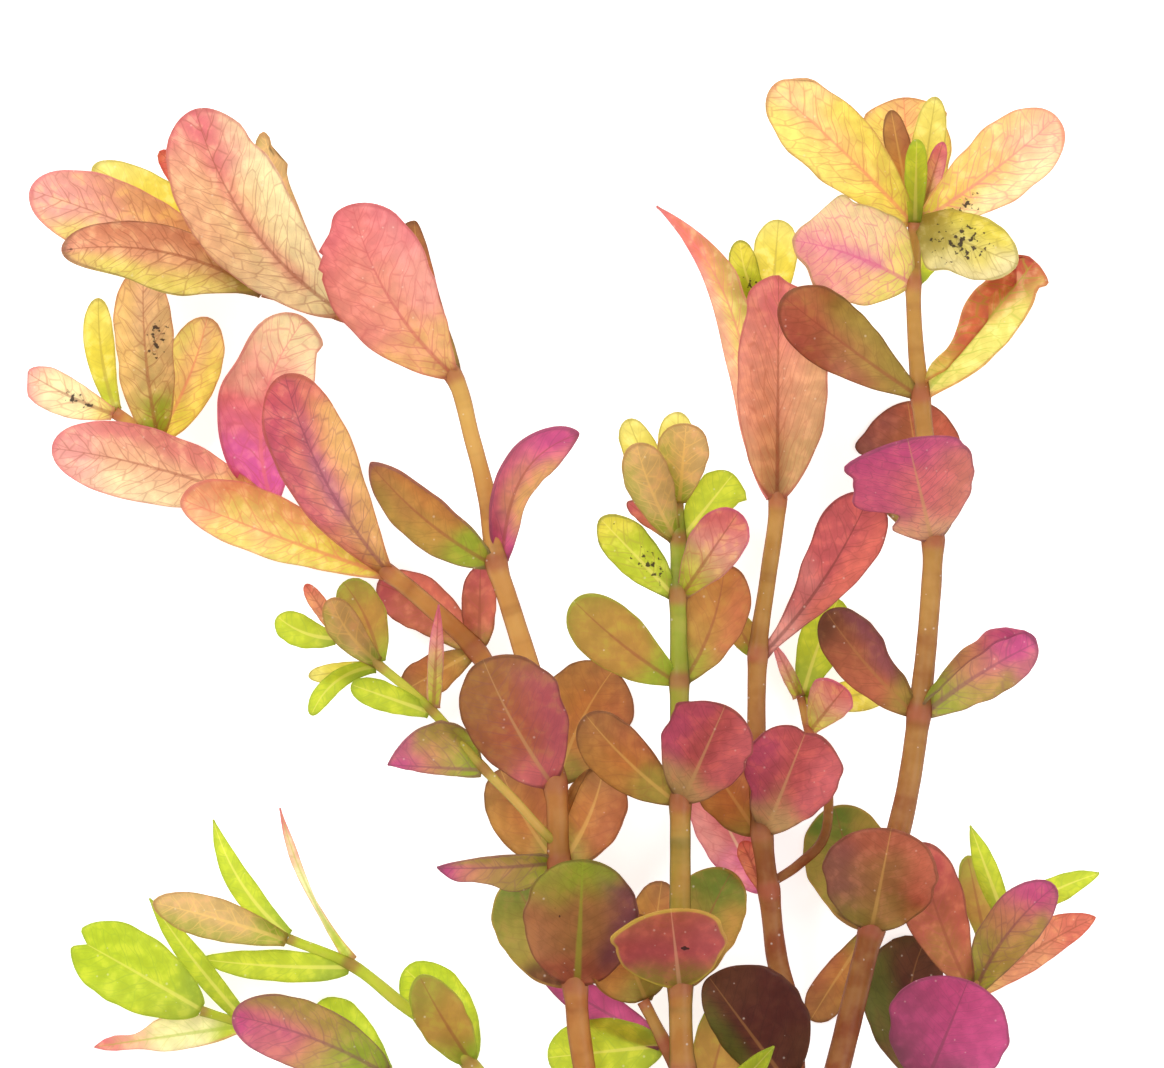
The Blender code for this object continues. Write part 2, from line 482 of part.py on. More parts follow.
def make_stem(name, path, collection, extra=0.0):
    """A stem: a tapering tube with closed ends, made a mesh so that leaves can be joined to it."""
    rings = stem_rings(path)
    curve = bpy.data.curves.new(name, "CURVE")
    curve.dimensions = "3D"
    curve.bevel_depth = MM
    curve.bevel_resolution = 2
    curve.use_fill_caps = True
    spline = curve.splines.new("POLY")
    spline.points.add(len(rings) - 1)
    for point, ring in zip(spline.points, rings):
        point.co = (*placed(ring[0], ring[1], ring[2]), 1.0)
        point.radius = ring[3] + extra
    guide = bpy.data.objects.new(name + "_guide", curve)
    bpy.context.scene.collection.objects.link(guide)
    graph = bpy.context.evaluated_depsgraph_get()
    mesh = bpy.data.meshes.new_from_object(guide.evaluated_get(graph))
    bpy.data.objects.remove(guide)
    welded = bmesh.new()
    welded.from_mesh(mesh)
    bmesh.ops.remove_doubles(welded, verts=welded.verts, dist=0.01 * MM)
    welded.to_mesh(mesh)
    welded.free()
    stem = bpy.data.objects.new(name, mesh)
    collection.objects.link(stem)
    return stem


def node_of(stem_name, node_name):
    """The centre, the direction and the radius of the stem at one of its nodes."""
    path = STEMS[stem_name]
    index = [row[4] for row in path].index(node_name)
    before = Vector(path[max(index - 1, 0)][:3])
    after = Vector(path[min(index + 1, len(path) - 1)][:3])
    return Vector(path[index][:3]), (after - before).normalized(), path[index][3]


def leaf_base(leaf, joined):
    """Where the blade starts: at the side of the stem that faces the leaf, or inside the stem."""
    centre, direction, radius = node_of(leaf.stem, leaf.node)
    outwards = Vector(leaf.tip) - centre
    outwards -= outwards.dot(direction) * direction
    top = Vector((0, 0, 1)) - direction.z * direction
    outwards = outwards.normalized() + leaf.front * top
    reach = 0.3 * radius if joined else radius + JOINT_GAP + LEAF_THICKNESS / 2
    return centre + outwards.normalized() * reach


def blade_width(leaf, share):
    """The blade's width at a share of its length, as a part of its widest."""
    widest = leaf.taper / (leaf.taper + leaf.point)
    most = widest**leaf.taper * (1 - widest) ** leaf.point
    return share**leaf.taper * (1 - share) ** leaf.point / most


def blade_point(leaf, base, across, along):
    """The place on the blade of a point on a disc, which goes from -1 to 1 each way."""
    share = (along + 1) / 2
    rim = math.sqrt(max(1 - along * along, 1e-6))
    side = max(-1.0, min(1.0, across / rim))
    chord = Vector(leaf.tip) - base
    left = Vector((-chord.y, chord.x, 0)).normalized()
    bow = 4 * share * (1 - share)
    lean = 1 + leaf.skew * (2 * share - 1)
    middle = base + chord * share + left * leaf.bend * bow * lean
    slope = 4 * (1 - 2 * share) * lean + 2 * leaf.skew * bow
    heading = chord + left * leaf.bend * slope
    right = Vector((heading.y, -heading.x, 0)).normalized()
    half = leaf.half[0] if side < 0 else leaf.half[1]
    reach = side * (half * blade_width(leaf, share) + PETIOLE_HALF_WIDTH * (1 - share) ** 3)
    place = middle + right * reach
    rise = leaf.arch * bow + leaf.tilt * reach + leaf.fold * abs(reach)
    height = max(place.z + rise, LEAF_THICKNESS / 2)
    return placed(place.x, place.y, height)


def make_leaf(leaf, grid, collection, joined):
    """A leaf: a square grid made round, pulled along the midrib and given its thickness."""
    base = leaf_base(leaf, joined)
    blade = bmesh.new()
    bmesh.ops.create_grid(blade, x_segments=grid[0], y_segments=grid[1], size=1.0)
    for vertex in blade.verts:
        u, v = vertex.co.x, vertex.co.y
        across = u * math.sqrt(1 - v * v / 2)
        along = v * math.sqrt(1 - u * u / 2)
        vertex.co = blade_point(leaf, base, across, along)
    mesh = bpy.data.meshes.new(leaf.name)
    blade.to_mesh(mesh)
    blade.free()
    mesh.shade_smooth()
    obj = bpy.data.objects.new(leaf.name, mesh)
    collection.objects.link(obj)
    solidify = obj.modifiers.new("Thickness", "SOLIDIFY")
    solidify.thickness = LEAF_THICKNESS * MM
    solidify.offset = 0.0
    return obj


def cut_back(stem, room):
    """A branch ends at the side of the stem that carries it, in a hollow that fits round it."""
    fork = stem.modifiers.new("Fork", "BOOLEAN")
    fork.operation = "DIFFERENCE"
    fork.object = room
    fork.solver = "EXACT"


def join_to(stem, others):
    """One solid of a stem and the collection of leaves that grow from it."""
    union = stem.modifiers.new("Joined leaves", "BOOLEAN")
    union.operation = "UNION"
    union.operand_type = "COLLECTION"
    union.collection = others
    union.solver = "EXACT"


def hide_helper(obj):
    obj.hide_render = True
    obj.display_type = "WIRE"


def build_plant():
    clear_scene()
    plant = new_collection("rotala")
    helpers = new_collection("joined_leaves")
    helpers.hide_render = True
    leaf_materials = {
        name: plant_material("leaf_" + name, colour, LEAF_ROUGHNESS)
        for name, colour in COLOURS.items()
    }
    stem_material = plant_material("stem", COLOURS["tan"], STEM_ROUGHNESS)
    for name, path in STEMS.items():
        if name in TWIGS:
            continue
        stem = make_stem(name, path, plant)
        stem.data.materials.append(stem_material)
        if name in CARRIERS:
            carrier = CARRIERS[name]
            room = make_stem(name + "_room", STEMS[carrier], helpers, JOINT_GAP)
            hide_helper(room)
            cut_back(stem, room)
        joined = bpy.data.collections.new(name + "_leaves")
        helpers.children.link(joined)
        twigs = [twig for twig, carrier in TWIGS.items() if carrier == name]
        for twig in twigs:
            hide_helper(make_stem(twig, STEMS[twig], joined))
        for leaf in SMALL_LEAVES:
            if leaf.stem in (name, *twigs):
                small = make_leaf(leaf, SMALL_LEAF_GRID, joined, True)
                small.data.materials.append(leaf_materials[leaf.colour])
                hide_helper(small)
        join_to(stem, joined)
    for leaf in LARGE_LEAVES:
        large = make_leaf(leaf, LARGE_LEAF_GRID, plant, False)
        large.data.materials.append(leaf_materials[leaf.colour])


build_plant()
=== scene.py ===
# %% [markdown]
# # A rotala, dressed over its CAD model
# A rotala is an aquarium stem plant: soft, branching stems carry thin leaves in opposite pairs,
# yellow-green where they are shaded and salmon, rose or crimson where light reaches them. This one
# was lifted out and lies flat, so the camera looks straight down. The CAD model gives each stem and
# each leaf its place and main form. The scene repeats those values and adds what a thin leaf really
# shows: veins, wavy margins, folds, spots, and light that passes through it.

# %% Load the CAD frame
import math
from typing import NamedTuple

import bmesh
import bpy
from mathutils import Matrix, Vector, noise


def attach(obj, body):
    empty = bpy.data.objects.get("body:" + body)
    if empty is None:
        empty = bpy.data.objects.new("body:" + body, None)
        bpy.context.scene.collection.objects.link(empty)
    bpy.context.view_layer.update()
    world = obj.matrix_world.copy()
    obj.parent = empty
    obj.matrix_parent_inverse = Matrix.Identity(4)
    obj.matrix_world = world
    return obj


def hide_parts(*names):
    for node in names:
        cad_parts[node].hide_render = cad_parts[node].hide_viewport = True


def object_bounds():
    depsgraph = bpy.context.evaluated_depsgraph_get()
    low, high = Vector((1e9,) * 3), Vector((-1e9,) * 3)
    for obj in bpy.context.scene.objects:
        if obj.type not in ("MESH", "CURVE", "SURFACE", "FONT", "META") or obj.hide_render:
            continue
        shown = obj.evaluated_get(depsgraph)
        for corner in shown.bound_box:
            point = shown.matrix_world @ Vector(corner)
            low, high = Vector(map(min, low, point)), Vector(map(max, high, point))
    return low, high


MM = 0.001
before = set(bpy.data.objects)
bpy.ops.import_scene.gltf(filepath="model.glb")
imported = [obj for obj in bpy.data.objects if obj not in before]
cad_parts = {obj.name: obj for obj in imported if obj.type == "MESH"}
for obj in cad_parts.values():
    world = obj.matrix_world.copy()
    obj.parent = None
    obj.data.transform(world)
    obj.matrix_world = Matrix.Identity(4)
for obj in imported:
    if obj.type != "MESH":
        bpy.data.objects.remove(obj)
cad_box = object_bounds()
print("CAD nodes:", len(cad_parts))

# %% [markdown]
# ## The view
# The photograph is flat, with hardly any perspective, so a long lens from more than a metre above
# fits it. The camera of the photograph is right over the plant: its view is 116.4 mm wide.

# %% Camera
VIEW_WIDTH = 116.4 * MM
LENS = 400
SENSOR = 36
MIDDLE_HEIGHT = 10 * MM
VIEW_MIDDLE = (1.86 * MM, 16.23 * MM)  # the photograph's, as seen from the plant's own middle
camera = bpy.data.objects.new("camera", bpy.data.cameras.new("camera"))
camera.data.lens = LENS
camera.data.sensor_width = SENSOR
camera.data.clip_end = 10
camera.location = (*VIEW_MIDDLE, VIEW_WIDTH * LENS / SENSOR + MIDDLE_HEIGHT)
bpy.context.scene.collection.objects.link(camera)
bpy.context.scene.camera = camera
print("camera height:", round(camera.location.z, 3), "m")

# %% [markdown]
# ## Floor and light
# Thin leaves are lit from both sides. A white floor that glows a little, as a light table does,
# shines through them, and two broad soft lamps above show their surface.

# %% Floor
floor_mesh = bmesh.new()
bmesh.ops.create_grid(floor_mesh, x_segments=1, y_segments=1, size=1.5)
floor = bpy.data.objects.new("floor", bpy.data.meshes.new("floor"))
floor_mesh.to_mesh(floor.data)
floor_mesh.free()
bpy.context.scene.collection.objects.link(floor)
white = bpy.data.materials.new("white_floor")
white.use_nodes = True
glow = white.node_tree.nodes["Principled BSDF"]
glow.inputs["Base Color"].default_value = (0.82, 0.82, 0.82, 1)
glow.inputs["Roughness"].default_value = 0.6
glow.inputs["Emission Color"].default_value = (1, 1, 1, 1)
glow.inputs["Emission Strength"].default_value = 0.7
floor.data.materials.append(white)

# %% Lamps and sky
def add_lamp(name, place, size, power):
    """A square area lamp that faces the middle of the plant."""
    lamp = bpy.data.objects.new(name, bpy.data.lights.new(name, "AREA"))
    lamp.data.size = size
    lamp.data.energy = power
    lamp.location = place
    lamp.rotation_euler = (-Vector(place)).to_track_quat("-Z", "Y").to_euler()
    bpy.context.scene.collection.objects.link(lamp)


add_lamp("key", (-0.5, 0.5, 0.9), size=0.5, power=9)
add_lamp("fill", (0.7, -0.3, 0.8), size=0.7, power=5)
sky = bpy.data.worlds.new("sky")
sky.use_nodes = True
sky_nodes = sky.node_tree.nodes
light_seen = sky_nodes["Background"]
light_seen.inputs["Color"].default_value = (1, 1, 1, 1)
light_seen.inputs["Strength"].default_value = 0.45
backdrop = sky_nodes.new("ShaderNodeBackground")
backdrop.inputs["Color"].default_value = (1, 1, 1, 1)
by_ray = sky_nodes.new("ShaderNodeMixShader")
ray = sky_nodes.new("ShaderNodeLightPath")
sky.node_tree.links.new(ray.outputs["Is Camera Ray"], by_ray.inputs["Fac"])
sky.node_tree.links.new(light_seen.outputs[0], by_ray.inputs[1])
sky.node_tree.links.new(backdrop.outputs[0], by_ray.inputs[2])
sky.node_tree.links.new(by_ray.outputs[0], sky_nodes["World Output"].inputs["Surface"])
bpy.context.scene.world = sky
bpy.context.scene.view_settings.view_transform = "Standard"

# %% [markdown]
# ## The stems' paths
# A stem is a path of points from its lower end to its tip. Each row is x, y, height and radius in
# millimetres, and the node's name where leaves grow. Places are measured from the lower left corner
# of the photograph, and MIDDLE_X and MIDDLE_Y are the plant's middle there.

# %% Stem paths
MIDDLE_X = 56.34
MIDDLE_Y = 37.17
STEMS = {
    "centre_stem": [
        (73.6, -24.0, 1.87, 1.9, ""),
        (73.2, -18.0, 3.6, 1.8, "root"),
        (71.4, -12.0, 6.4, 1.6, "crown"),
        (69.5, -6.0, 9.2, 1.4, "foot"),
        (68.3, 0.0, 11.3, 1.3, "shoot"),
        (68.0, 8.3, 12.5, 1.25, "first"),
        (68.0, 18.0, 12.9, 1.15, ""),
        (68.0, 26.8, 13.0, 1.1, "second"),
        (67.9, 38.8, 13.0, 1.0, "third"),
        (67.8, 47.3, 13.0, 0.9, "fourth"),
        (67.8, 53.0, 13.0, 0.8, "fifth"),
        (67.7, 56.5, 13.2, 0.6, "tip"),
    ],
    "left_stem": [
        (71.4, -12.0, 6.4, 1.3, ""),
        (67.8, -9.9, 6.9, 1.3, ""),
        (62.6, -7.4, 7.5, 1.3, ""),
        (59.3, -3.2, 8.1, 1.25, ""),
        (58.0, 2.8, 8.8, 1.25, ""),
        (57.5, 8.3, 9.2, 1.25, "first"),
        (56.7, 15.0, 9.5, 1.25, ""),
        (55.9, 20.6, 9.8, 1.2, "second"),
        (55.5, 28.5, 10.0, 1.2, "third"),
        (53.6, 37.5, 10.3, 1.2, ""),
        (50.9, 46.5, 10.5, 1.1, ""),
        (49.6, 50.6, 10.5, 1.1, "fourth"),
        (48.7, 57.0, 10.6, 1.0, ""),
        (47.2, 63.0, 10.8, 0.9, ""),
        (45.3, 69.3, 11.0, 0.9, "fifth"),
        (41.0, 73.0, 10.5, 0.7, ""),
        (34.3, 75.2, 10.0, 0.6, "sixth"),
        (26.3, 77.7, 10.0, 0.6, "tip"),
    ],
    "left_branch": [
        (55.4, 29.6, 10.0, 1.0, ""),
        (53.4, 31.8, 7.8, 1.0, ""),
        (51.0, 36.5, 6.4, 1.0, ""),
        (47.5, 41.8, 5.8, 1.0, "first"),
        (43.3, 45.8, 6.0, 1.0, ""),
        (38.6, 49.6, 6.4, 0.9, "second"),
        (32.5, 52.9, 5.8, 0.8, ""),
        (27.0, 56.2, 5.4, 0.8, "third"),
        (21.0, 59.6, 5.3, 0.7, ""),
        (15.5, 62.9, 5.7, 0.6, "fourth"),
        (11.3, 65.6, 6.1, 0.6, "tip"),
    ],
    "side_shoot": [
        (55.8, 22.2, 9.85, 0.5, ""),
        (54.0, 24.0, 11.2, 0.5, ""),
        (51.5, 26.8, 12.0, 0.5, ""),
        (48.4, 30.0, 12.6, 0.5, "first"),
        (43.2, 35.8, 13.2, 0.5, "second"),
        (37.8, 40.4, 13.4, 0.5, "third"),
        (33.8, 43.2, 13.5, 0.5, "tip"),
    ],
    "inner_stem": [
        (72.0, -13.5, 5.8, 1.2, ""),
        (74.3, -10.5, 6.7, 1.2, ""),
        (77.4, -6.5, 7.4, 1.2, ""),
        (79.3, -1.5, 8.0, 1.2, "foot"),
        (79.3, 3.0, 8.3, 1.15, ""),
        (78.9, 6.5, 8.5, 1.15, ""),
        (77.7, 11.0, 8.7, 1.15, ""),
        (76.9, 17.8, 8.9, 1.1, "first"),
        (76.2, 23.5, 9.0, 1.1, "second"),
        (75.7, 31.0, 9.1, 1.0, ""),
        (75.8, 41.4, 9.3, 1.0, "third"),
        (76.8, 49.0, 9.3, 0.9, ""),
        (77.8, 56.9, 9.4, 0.9, "fourth"),
        (77.6, 66.0, 9.0, 0.7, ""),
        (76.9, 75.5, 8.6, 0.6, "tip"),
    ],
    "back_shoot": [
        (77.4, 18.6, 8.0, 0.5, ""),
        (80.0, 20.3, 6.0, 0.55, ""),
        (82.6, 23.2, 4.6, 0.55, ""),
        (82.8, 29.0, 3.6, 0.5, ""),
        (81.0, 33.6, 3.2, 0.45, "first"),
        (80.2, 37.0, 3.0, 0.4, "tip"),
    ],
    "right_stem": [
        (73.0, -17.0, 4.1, 1.4, ""),
        (76.0, -15.6, 5.0, 1.4, ""),
        (79.3, -12.0, 6.0, 1.4, ""),
        (82.2, -5.5, 7.5, 1.4, "foot"),
        (83.8, 0.0, 8.3, 1.4, ""),
        (85.5, 7.0, 9.0, 1.35, ""),
        (87.2, 13.9, 9.5, 1.3, "first"),
        (89.3, 21.5, 9.9, 1.3, ""),
        (90.8, 28.0, 10.1, 1.25, ""),
        (91.9, 35.5, 10.3, 1.2, "second"),
        (92.8, 44.0, 10.4, 1.1, ""),
        (93.3, 52.8, 10.5, 1.1, "third"),
        (92.8, 60.0, 10.6, 1.0, ""),
        (92.0, 67.4, 10.7, 1.0, "fourth"),
        (91.5, 73.0, 10.8, 0.85, ""),
        (91.3, 78.5, 10.9, 0.8, "fifth"),
        (91.5, 84.5, 11.0, 0.7, "tip"),
    ],
    "right_side_shoot": [
        (82.3, -5.3, 7.5, 0.8, ""),
        (84.8, -5.2, 7.8, 0.8, ""),
        (88.0, -4.0, 8.2, 0.8, ""),
        (92.8, -1.6, 8.6, 0.8, "first"),
        (95.2, 3.4, 9.0, 0.8, ""),
        (97.3, 7.8, 9.4, 0.7, "second"),
        (99.0, 11.8, 9.6, 0.6, "third"),
        (100.6, 15.0, 9.8, 0.5, "tip"),
    ],
    "low_left_shoot": [
        (73.3, -19.4, 3.1, 0.9, ""),
        (70.6, -18.2, 3.4, 0.9, ""),
        (62.0, -13.6, 3.8, 0.9, ""),
        (53.5, -6.5, 4.2, 0.9, ""),
        (46.9, 0.2, 4.6, 0.8, "first"),
        (43.4, 3.8, 4.9, 0.7, ""),
        (40.0, 6.3, 5.2, 0.7, ""),
        (35.0, 10.2, 5.6, 0.6, "second"),
        (28.7, 12.8, 5.9, 0.5, "tip"),
    ],
    "low_left_fork": [
        (53.5, -6.5, 4.2, 0.7, ""),
        (51.0, -6.4, 4.1, 0.7, ""),
        (45.0, -4.3, 3.8, 0.7, ""),
        (38.6, -0.8, 3.7, 0.7, "first"),
        (31.0, 2.6, 3.7, 0.6, ""),
        (24.3, 4.2, 3.7, 0.5, "second"),
        (19.9, 5.5, 3.8, 0.5, "tip"),
    ],
    "low_twig": [
        (68.2, -1.6, 10.6, 0.7, ""),
        (66.5, 2.4, 10.3, 0.7, "first"),
        (64.3, 6.7, 10.0, 0.6, "tip"),
    ],
}
# A twig is short enough to be one solid with the stem that it leaves.
TWIGS = {"back_shoot": "inner_stem", "low_twig": "centre_stem"}
print("stems:", len(STEMS))

# %% [markdown]
# ## The leaves' places
# A leaf is held by the node it grows from, the place of its tip, its half-widths and a few numbers
# for how it bows. They are the CAD model's own values, so a leaf stays over its solid.

# %% Leaf table
class Leaf(NamedTuple):
    """A leaf on a stem's node. Lengths are in millimetres, left and right as seen going out."""

    name: str
    node: str
    tip: tuple
    half: tuple  # widest half-widths, left and right of the midrib
    colour: str
    bend: float = 0.0  # the midrib's bow to the left
    skew: float = 0.0  # 1 puts the bow near the tip, -1 near the base
    arch: float = 0.0  # the midrib's bow upwards
    tilt: float = 0.0  # how much each mm to the right rises
    fold: float = 0.1  # how much each mm away from the midrib rises
    front: float = 0.0  # 0 starts at the side of the stem that faces the tip, 3 on top of the stem
    taper: float = 1.0  # 0.5 is a round base, 1.3 a long narrow one
    point: float = 0.5  # 0.5 is a round tip, 1.0 a pointed one
    stem: str = ""


def leaves_of(table):
    """The leaves of a table grouped by stem, each with its stem's name."""
    return [leaf._replace(stem=stem) for stem, leaves in table.items() for leaf in leaves]


# Each large leaf is a solid of its own.
LARGE_LEAVES = leaves_of({
    "left_stem": [
        Leaf("left_tip_front_leaf", "sixth", (19.8, 95.6, 18.0), (5.2, 5.2), "pink", bend=2.4,
             arch=1.5, tilt=0.1, taper=0.9),
        Leaf("left_tip_upper_leaf", "tip", (3.0, 87.8, 10.5), (3.8, 3.8), "salmon", bend=-0.6,
             arch=1.0, taper=1.1),
        Leaf("left_tip_lower_leaf", "tip", (6.4, 81.6, 14.5), (2.7, 2.7), "salmon", bend=-1.9,
             arch=1.5, tilt=-0.15, taper=0.9),
        Leaf("left_tip_back_leaf", "tip", (9.2, 90.2, 8.5), (2.4, 2.6), "yellow", bend=-0.6,
             taper=0.9),
        Leaf("left_upper_front_leaf", "fifth", (35.4, 86.2, 18.0), (5.4, 5.2), "pink", bend=1.6,
             arch=1.2, tilt=0.1, taper=0.9),
        Leaf("left_upper_back_leaf", "fifth", (41.3, 85.0, -6.8), (3.6, 1.3), "brown", bend=0.8,
             fold=0.0, taper=0.6),
        Leaf("left_middle_left_leaf", "fourth", (37.1, 60.5, 15.0), (2.5, 2.4), "olive", bend=0.8,
             tilt=0.5, taper=0.8, point=0.7),
        Leaf("left_middle_right_leaf", "fourth", (57.9, 63.4, 12.6), (2.4, 2.4), "magenta",
             bend=2.6, skew=0.3, tilt=-0.4, taper=1.0, point=0.65),
        Leaf("left_node_front_leaf", "third", (48.4, 40.9, 18.5), (4.4, 5.6), "brown", bend=0.4,
             arch=1.0, tilt=0.1, taper=0.75),
        Leaf("left_node_back_leaf", "third", (61.4, 39.8, -6.0), (4.7, 4.7), "brown", bend=0.6,
             fold=0.0, taper=0.75),
        Leaf("left_low_right_leaf", "second", (60.4, 30.0, 8.2), (3.0, 3.2), "salmon", bend=-0.6,
             tilt=0.3, taper=0.7),
        Leaf("left_low_left_leaf", "second", (43.8, 20.1, 11.5), (2.6, 1.0), "olive", bend=0.2,
             tilt=0.5, taper=0.7, point=0.8),
        Leaf("left_foot_back_leaf", "first", (51.2, 18.8, 3.0), (4.2, 3.8), "olive", taper=0.7),
        Leaf("left_foot_front_leaf", "first", (58.3, 21.0, 16.0), (5.6, 5.8), "brown", arch=0.6,
             taper=0.62),
    ],
    "left_branch": [
        Leaf("branch_front_leaf", "second", (28.6, 69.3, 15.5), (3.9, 4.1), "magenta", bend=1.3,
             arch=1.0, taper=1.0, front=2.0),
        Leaf("branch_lower_leaf", "second", (18.1, 56.9, 10.5), (2.4, 4.0), "cream", bend=0.2,
             arch=0.4, taper=1.0, front=0.5),
        Leaf("branch_upper_leaf", "third", (30.6, 74.9, 11.5), (4.8, 4.4), "pink", bend=2.6,
             arch=0.8, taper=0.75, front=0.5),
        Leaf("branch_left_leaf", "third", (5.2, 62.0, 11.0), (3.7, 3.8), "pink", bend=-0.8,
             arch=1.0, taper=0.9, front=0.6),
        Leaf("branch_upright_leaf", "fourth", (14.4, 80.0, 11.0), (3.3, 3.0), "salmon", bend=0.5,
             arch=0.8, taper=0.7),
    ],
    "centre_stem": [
        Leaf("centre_left_leaf", "third", (57.4, 46.8, 15.0), (3.2, 3.0), "olive", bend=0.4,
             tilt=0.3, taper=0.9),
        Leaf("centre_right_leaf", "third", (72.4, 50.4, 11.5), (3.0, 3.2), "olive", bend=-0.8,
             tilt=-0.3, taper=1.0),
        Leaf("centre_node_left_leaf", "second", (58.6, 35.4, 15.5), (3.2, 2.6), "olive", bend=0.4,
             tilt=0.3, taper=0.9),
        Leaf("centre_node_front_leaf", "second", (72.4, 36.4, 21.0), (4.6, 4.4), "crimson",
             arch=0.5, taper=0.8),
        Leaf("centre_low_front_leaf", "first", (67.0, 16.2, 22.0), (5.8, 5.2), "pink", arch=0.5,
             taper=0.75),
        Leaf("centre_low_back_leaf", "first", (73.2, 19.6, 7.5), (3.9, 3.4), "olive", bend=0.4,
             fold=0.0, taper=0.75),
    ],
    "inner_stem": [
        Leaf("inner_tip_front_leaf", "fourth", (77.8, 79.2, 14.0), (4.1, 5.0), "pink", arch=1.2,
             taper=0.75, point=0.6),
        Leaf("inner_tip_left_leaf", "fourth", (65.6, 86.1, 12.0), (1.8, 2.6), "pink", bend=-2.8,
             skew=0.7, arch=1.0, tilt=0.2, taper=0.8, point=1.0),
        Leaf("inner_right_leaf", "third", (87.0, 57.4, 8.0), (3.4, 3.4), "crimson", bend=-0.9,
             tilt=-0.2, taper=1.6, point=0.5),
        Leaf("inner_low_front_leaf", "second", (80.6, 34.0, 15.0), (4.6, 5.0), "crimson", arch=0.6,
             taper=0.9),
        Leaf("inner_low_left_leaf", "first", (70.8, 29.0, 2.5), (3.2, 3.0), "pink", bend=0.5,
             taper=0.75),
        Leaf("inner_foot_leaf", "foot", (70.9, 9.2, 12.0), (3.0, 6.2), "crimson", arch=1.5,
             tilt=0.35, taper=0.62),
    ],
    "right_stem": [
        Leaf("right_tip_left_leaf", "tip", (77.1, 98.0, 14.0), (3.8, 3.8), "salmon", bend=-0.3,
             arch=1.0, taper=0.95),
        Leaf("right_tip_back_leaf", "tip", (90.6, 97.4, -6.8), (4.3, 4.3), "salmon", fold=0.0,
             taper=0.8),
        Leaf("right_tip_right_leaf", "tip", (105.6, 95.0, 13.5), (3.8, 3.8), "pink", bend=-0.4,
             arch=0.8, taper=1.0),
        Leaf("right_tip_lower_leaf", "tip", (101.5, 80.2, 17.0), (3.0, 3.2), "yellow", arch=1.0,
             taper=0.75, point=0.6),
        Leaf("right_upper_front_leaf", "fifth", (79.1, 82.6, 18.0), (4.8, 5.2), "cream", bend=-0.6,
             arch=1.0, taper=0.75, point=0.7),
        Leaf("right_upper_left_leaf", "fourth", (78.2, 77.0, 18.2), (3.4, 3.6), "olive", bend=0.2,
             arch=0.5, tilt=0.2, taper=1.1),
        Leaf("right_upper_right_leaf", "fourth", (103.4, 80.6, 12.5), (3.2, 2.8), "crimson",
             bend=-0.2, tilt=0.4, taper=1.0, point=0.7),
        Leaf("right_middle_front_leaf", "third", (90.5, 62.8, 20.0), (6.4, 5.8), "magenta",
             arch=0.6, taper=0.9),
        Leaf("right_middle_back_leaf", "third", (91.0, 66.8, -6.4), (5.4, 4.6), "brown", fold=0.0,
             taper=0.75),
        Leaf("right_lower_left_leaf", "second", (82.6, 45.7, 12.0), (2.8, 2.9), "brown", bend=0.4,
             tilt=0.3, taper=0.9),
        Leaf("right_lower_right_leaf", "second", (103.6, 42.6, 12.0), (3.0, 2.8), "magenta",
             bend=0.4, tilt=-0.3, taper=0.9),
        Leaf("right_low_back_leaf", "first", (83.6, 26.0, -5.8), (4.4, 4.2), "olive", fold=0.0,
             taper=0.7),
        Leaf("right_low_front_leaf", "first", (88.9, 24.1, 19.0), (5.8, 5.6), "brown", arch=0.6,
             taper=0.65),
    ],
    "right_side_shoot": [
        Leaf("shoot_front_leaf", "first", (96.6, 9.0, 17.0), (6.0, 6.0), "magenta", arch=0.8,
             taper=0.65),
        Leaf("shoot_upright_leaf", "second", (91.7, 22.6, 13.5), (3.4, 3.0), "crimson", bend=0.5,
             arch=0.6, tilt=0.2, taper=1.0),
    ],
    "low_left_fork": [
        Leaf("low_left_heart_leaf", "tip", (7.0, 12.8, -1.8), (3.9, 3.9), "green", taper=0.75),
        Leaf("low_left_pink_leaf", "first", (23.2, 5.2, 9.0), (3.4, 3.4), "magenta", bend=-0.8,
             arch=1.0, taper=0.75),
    ],
})

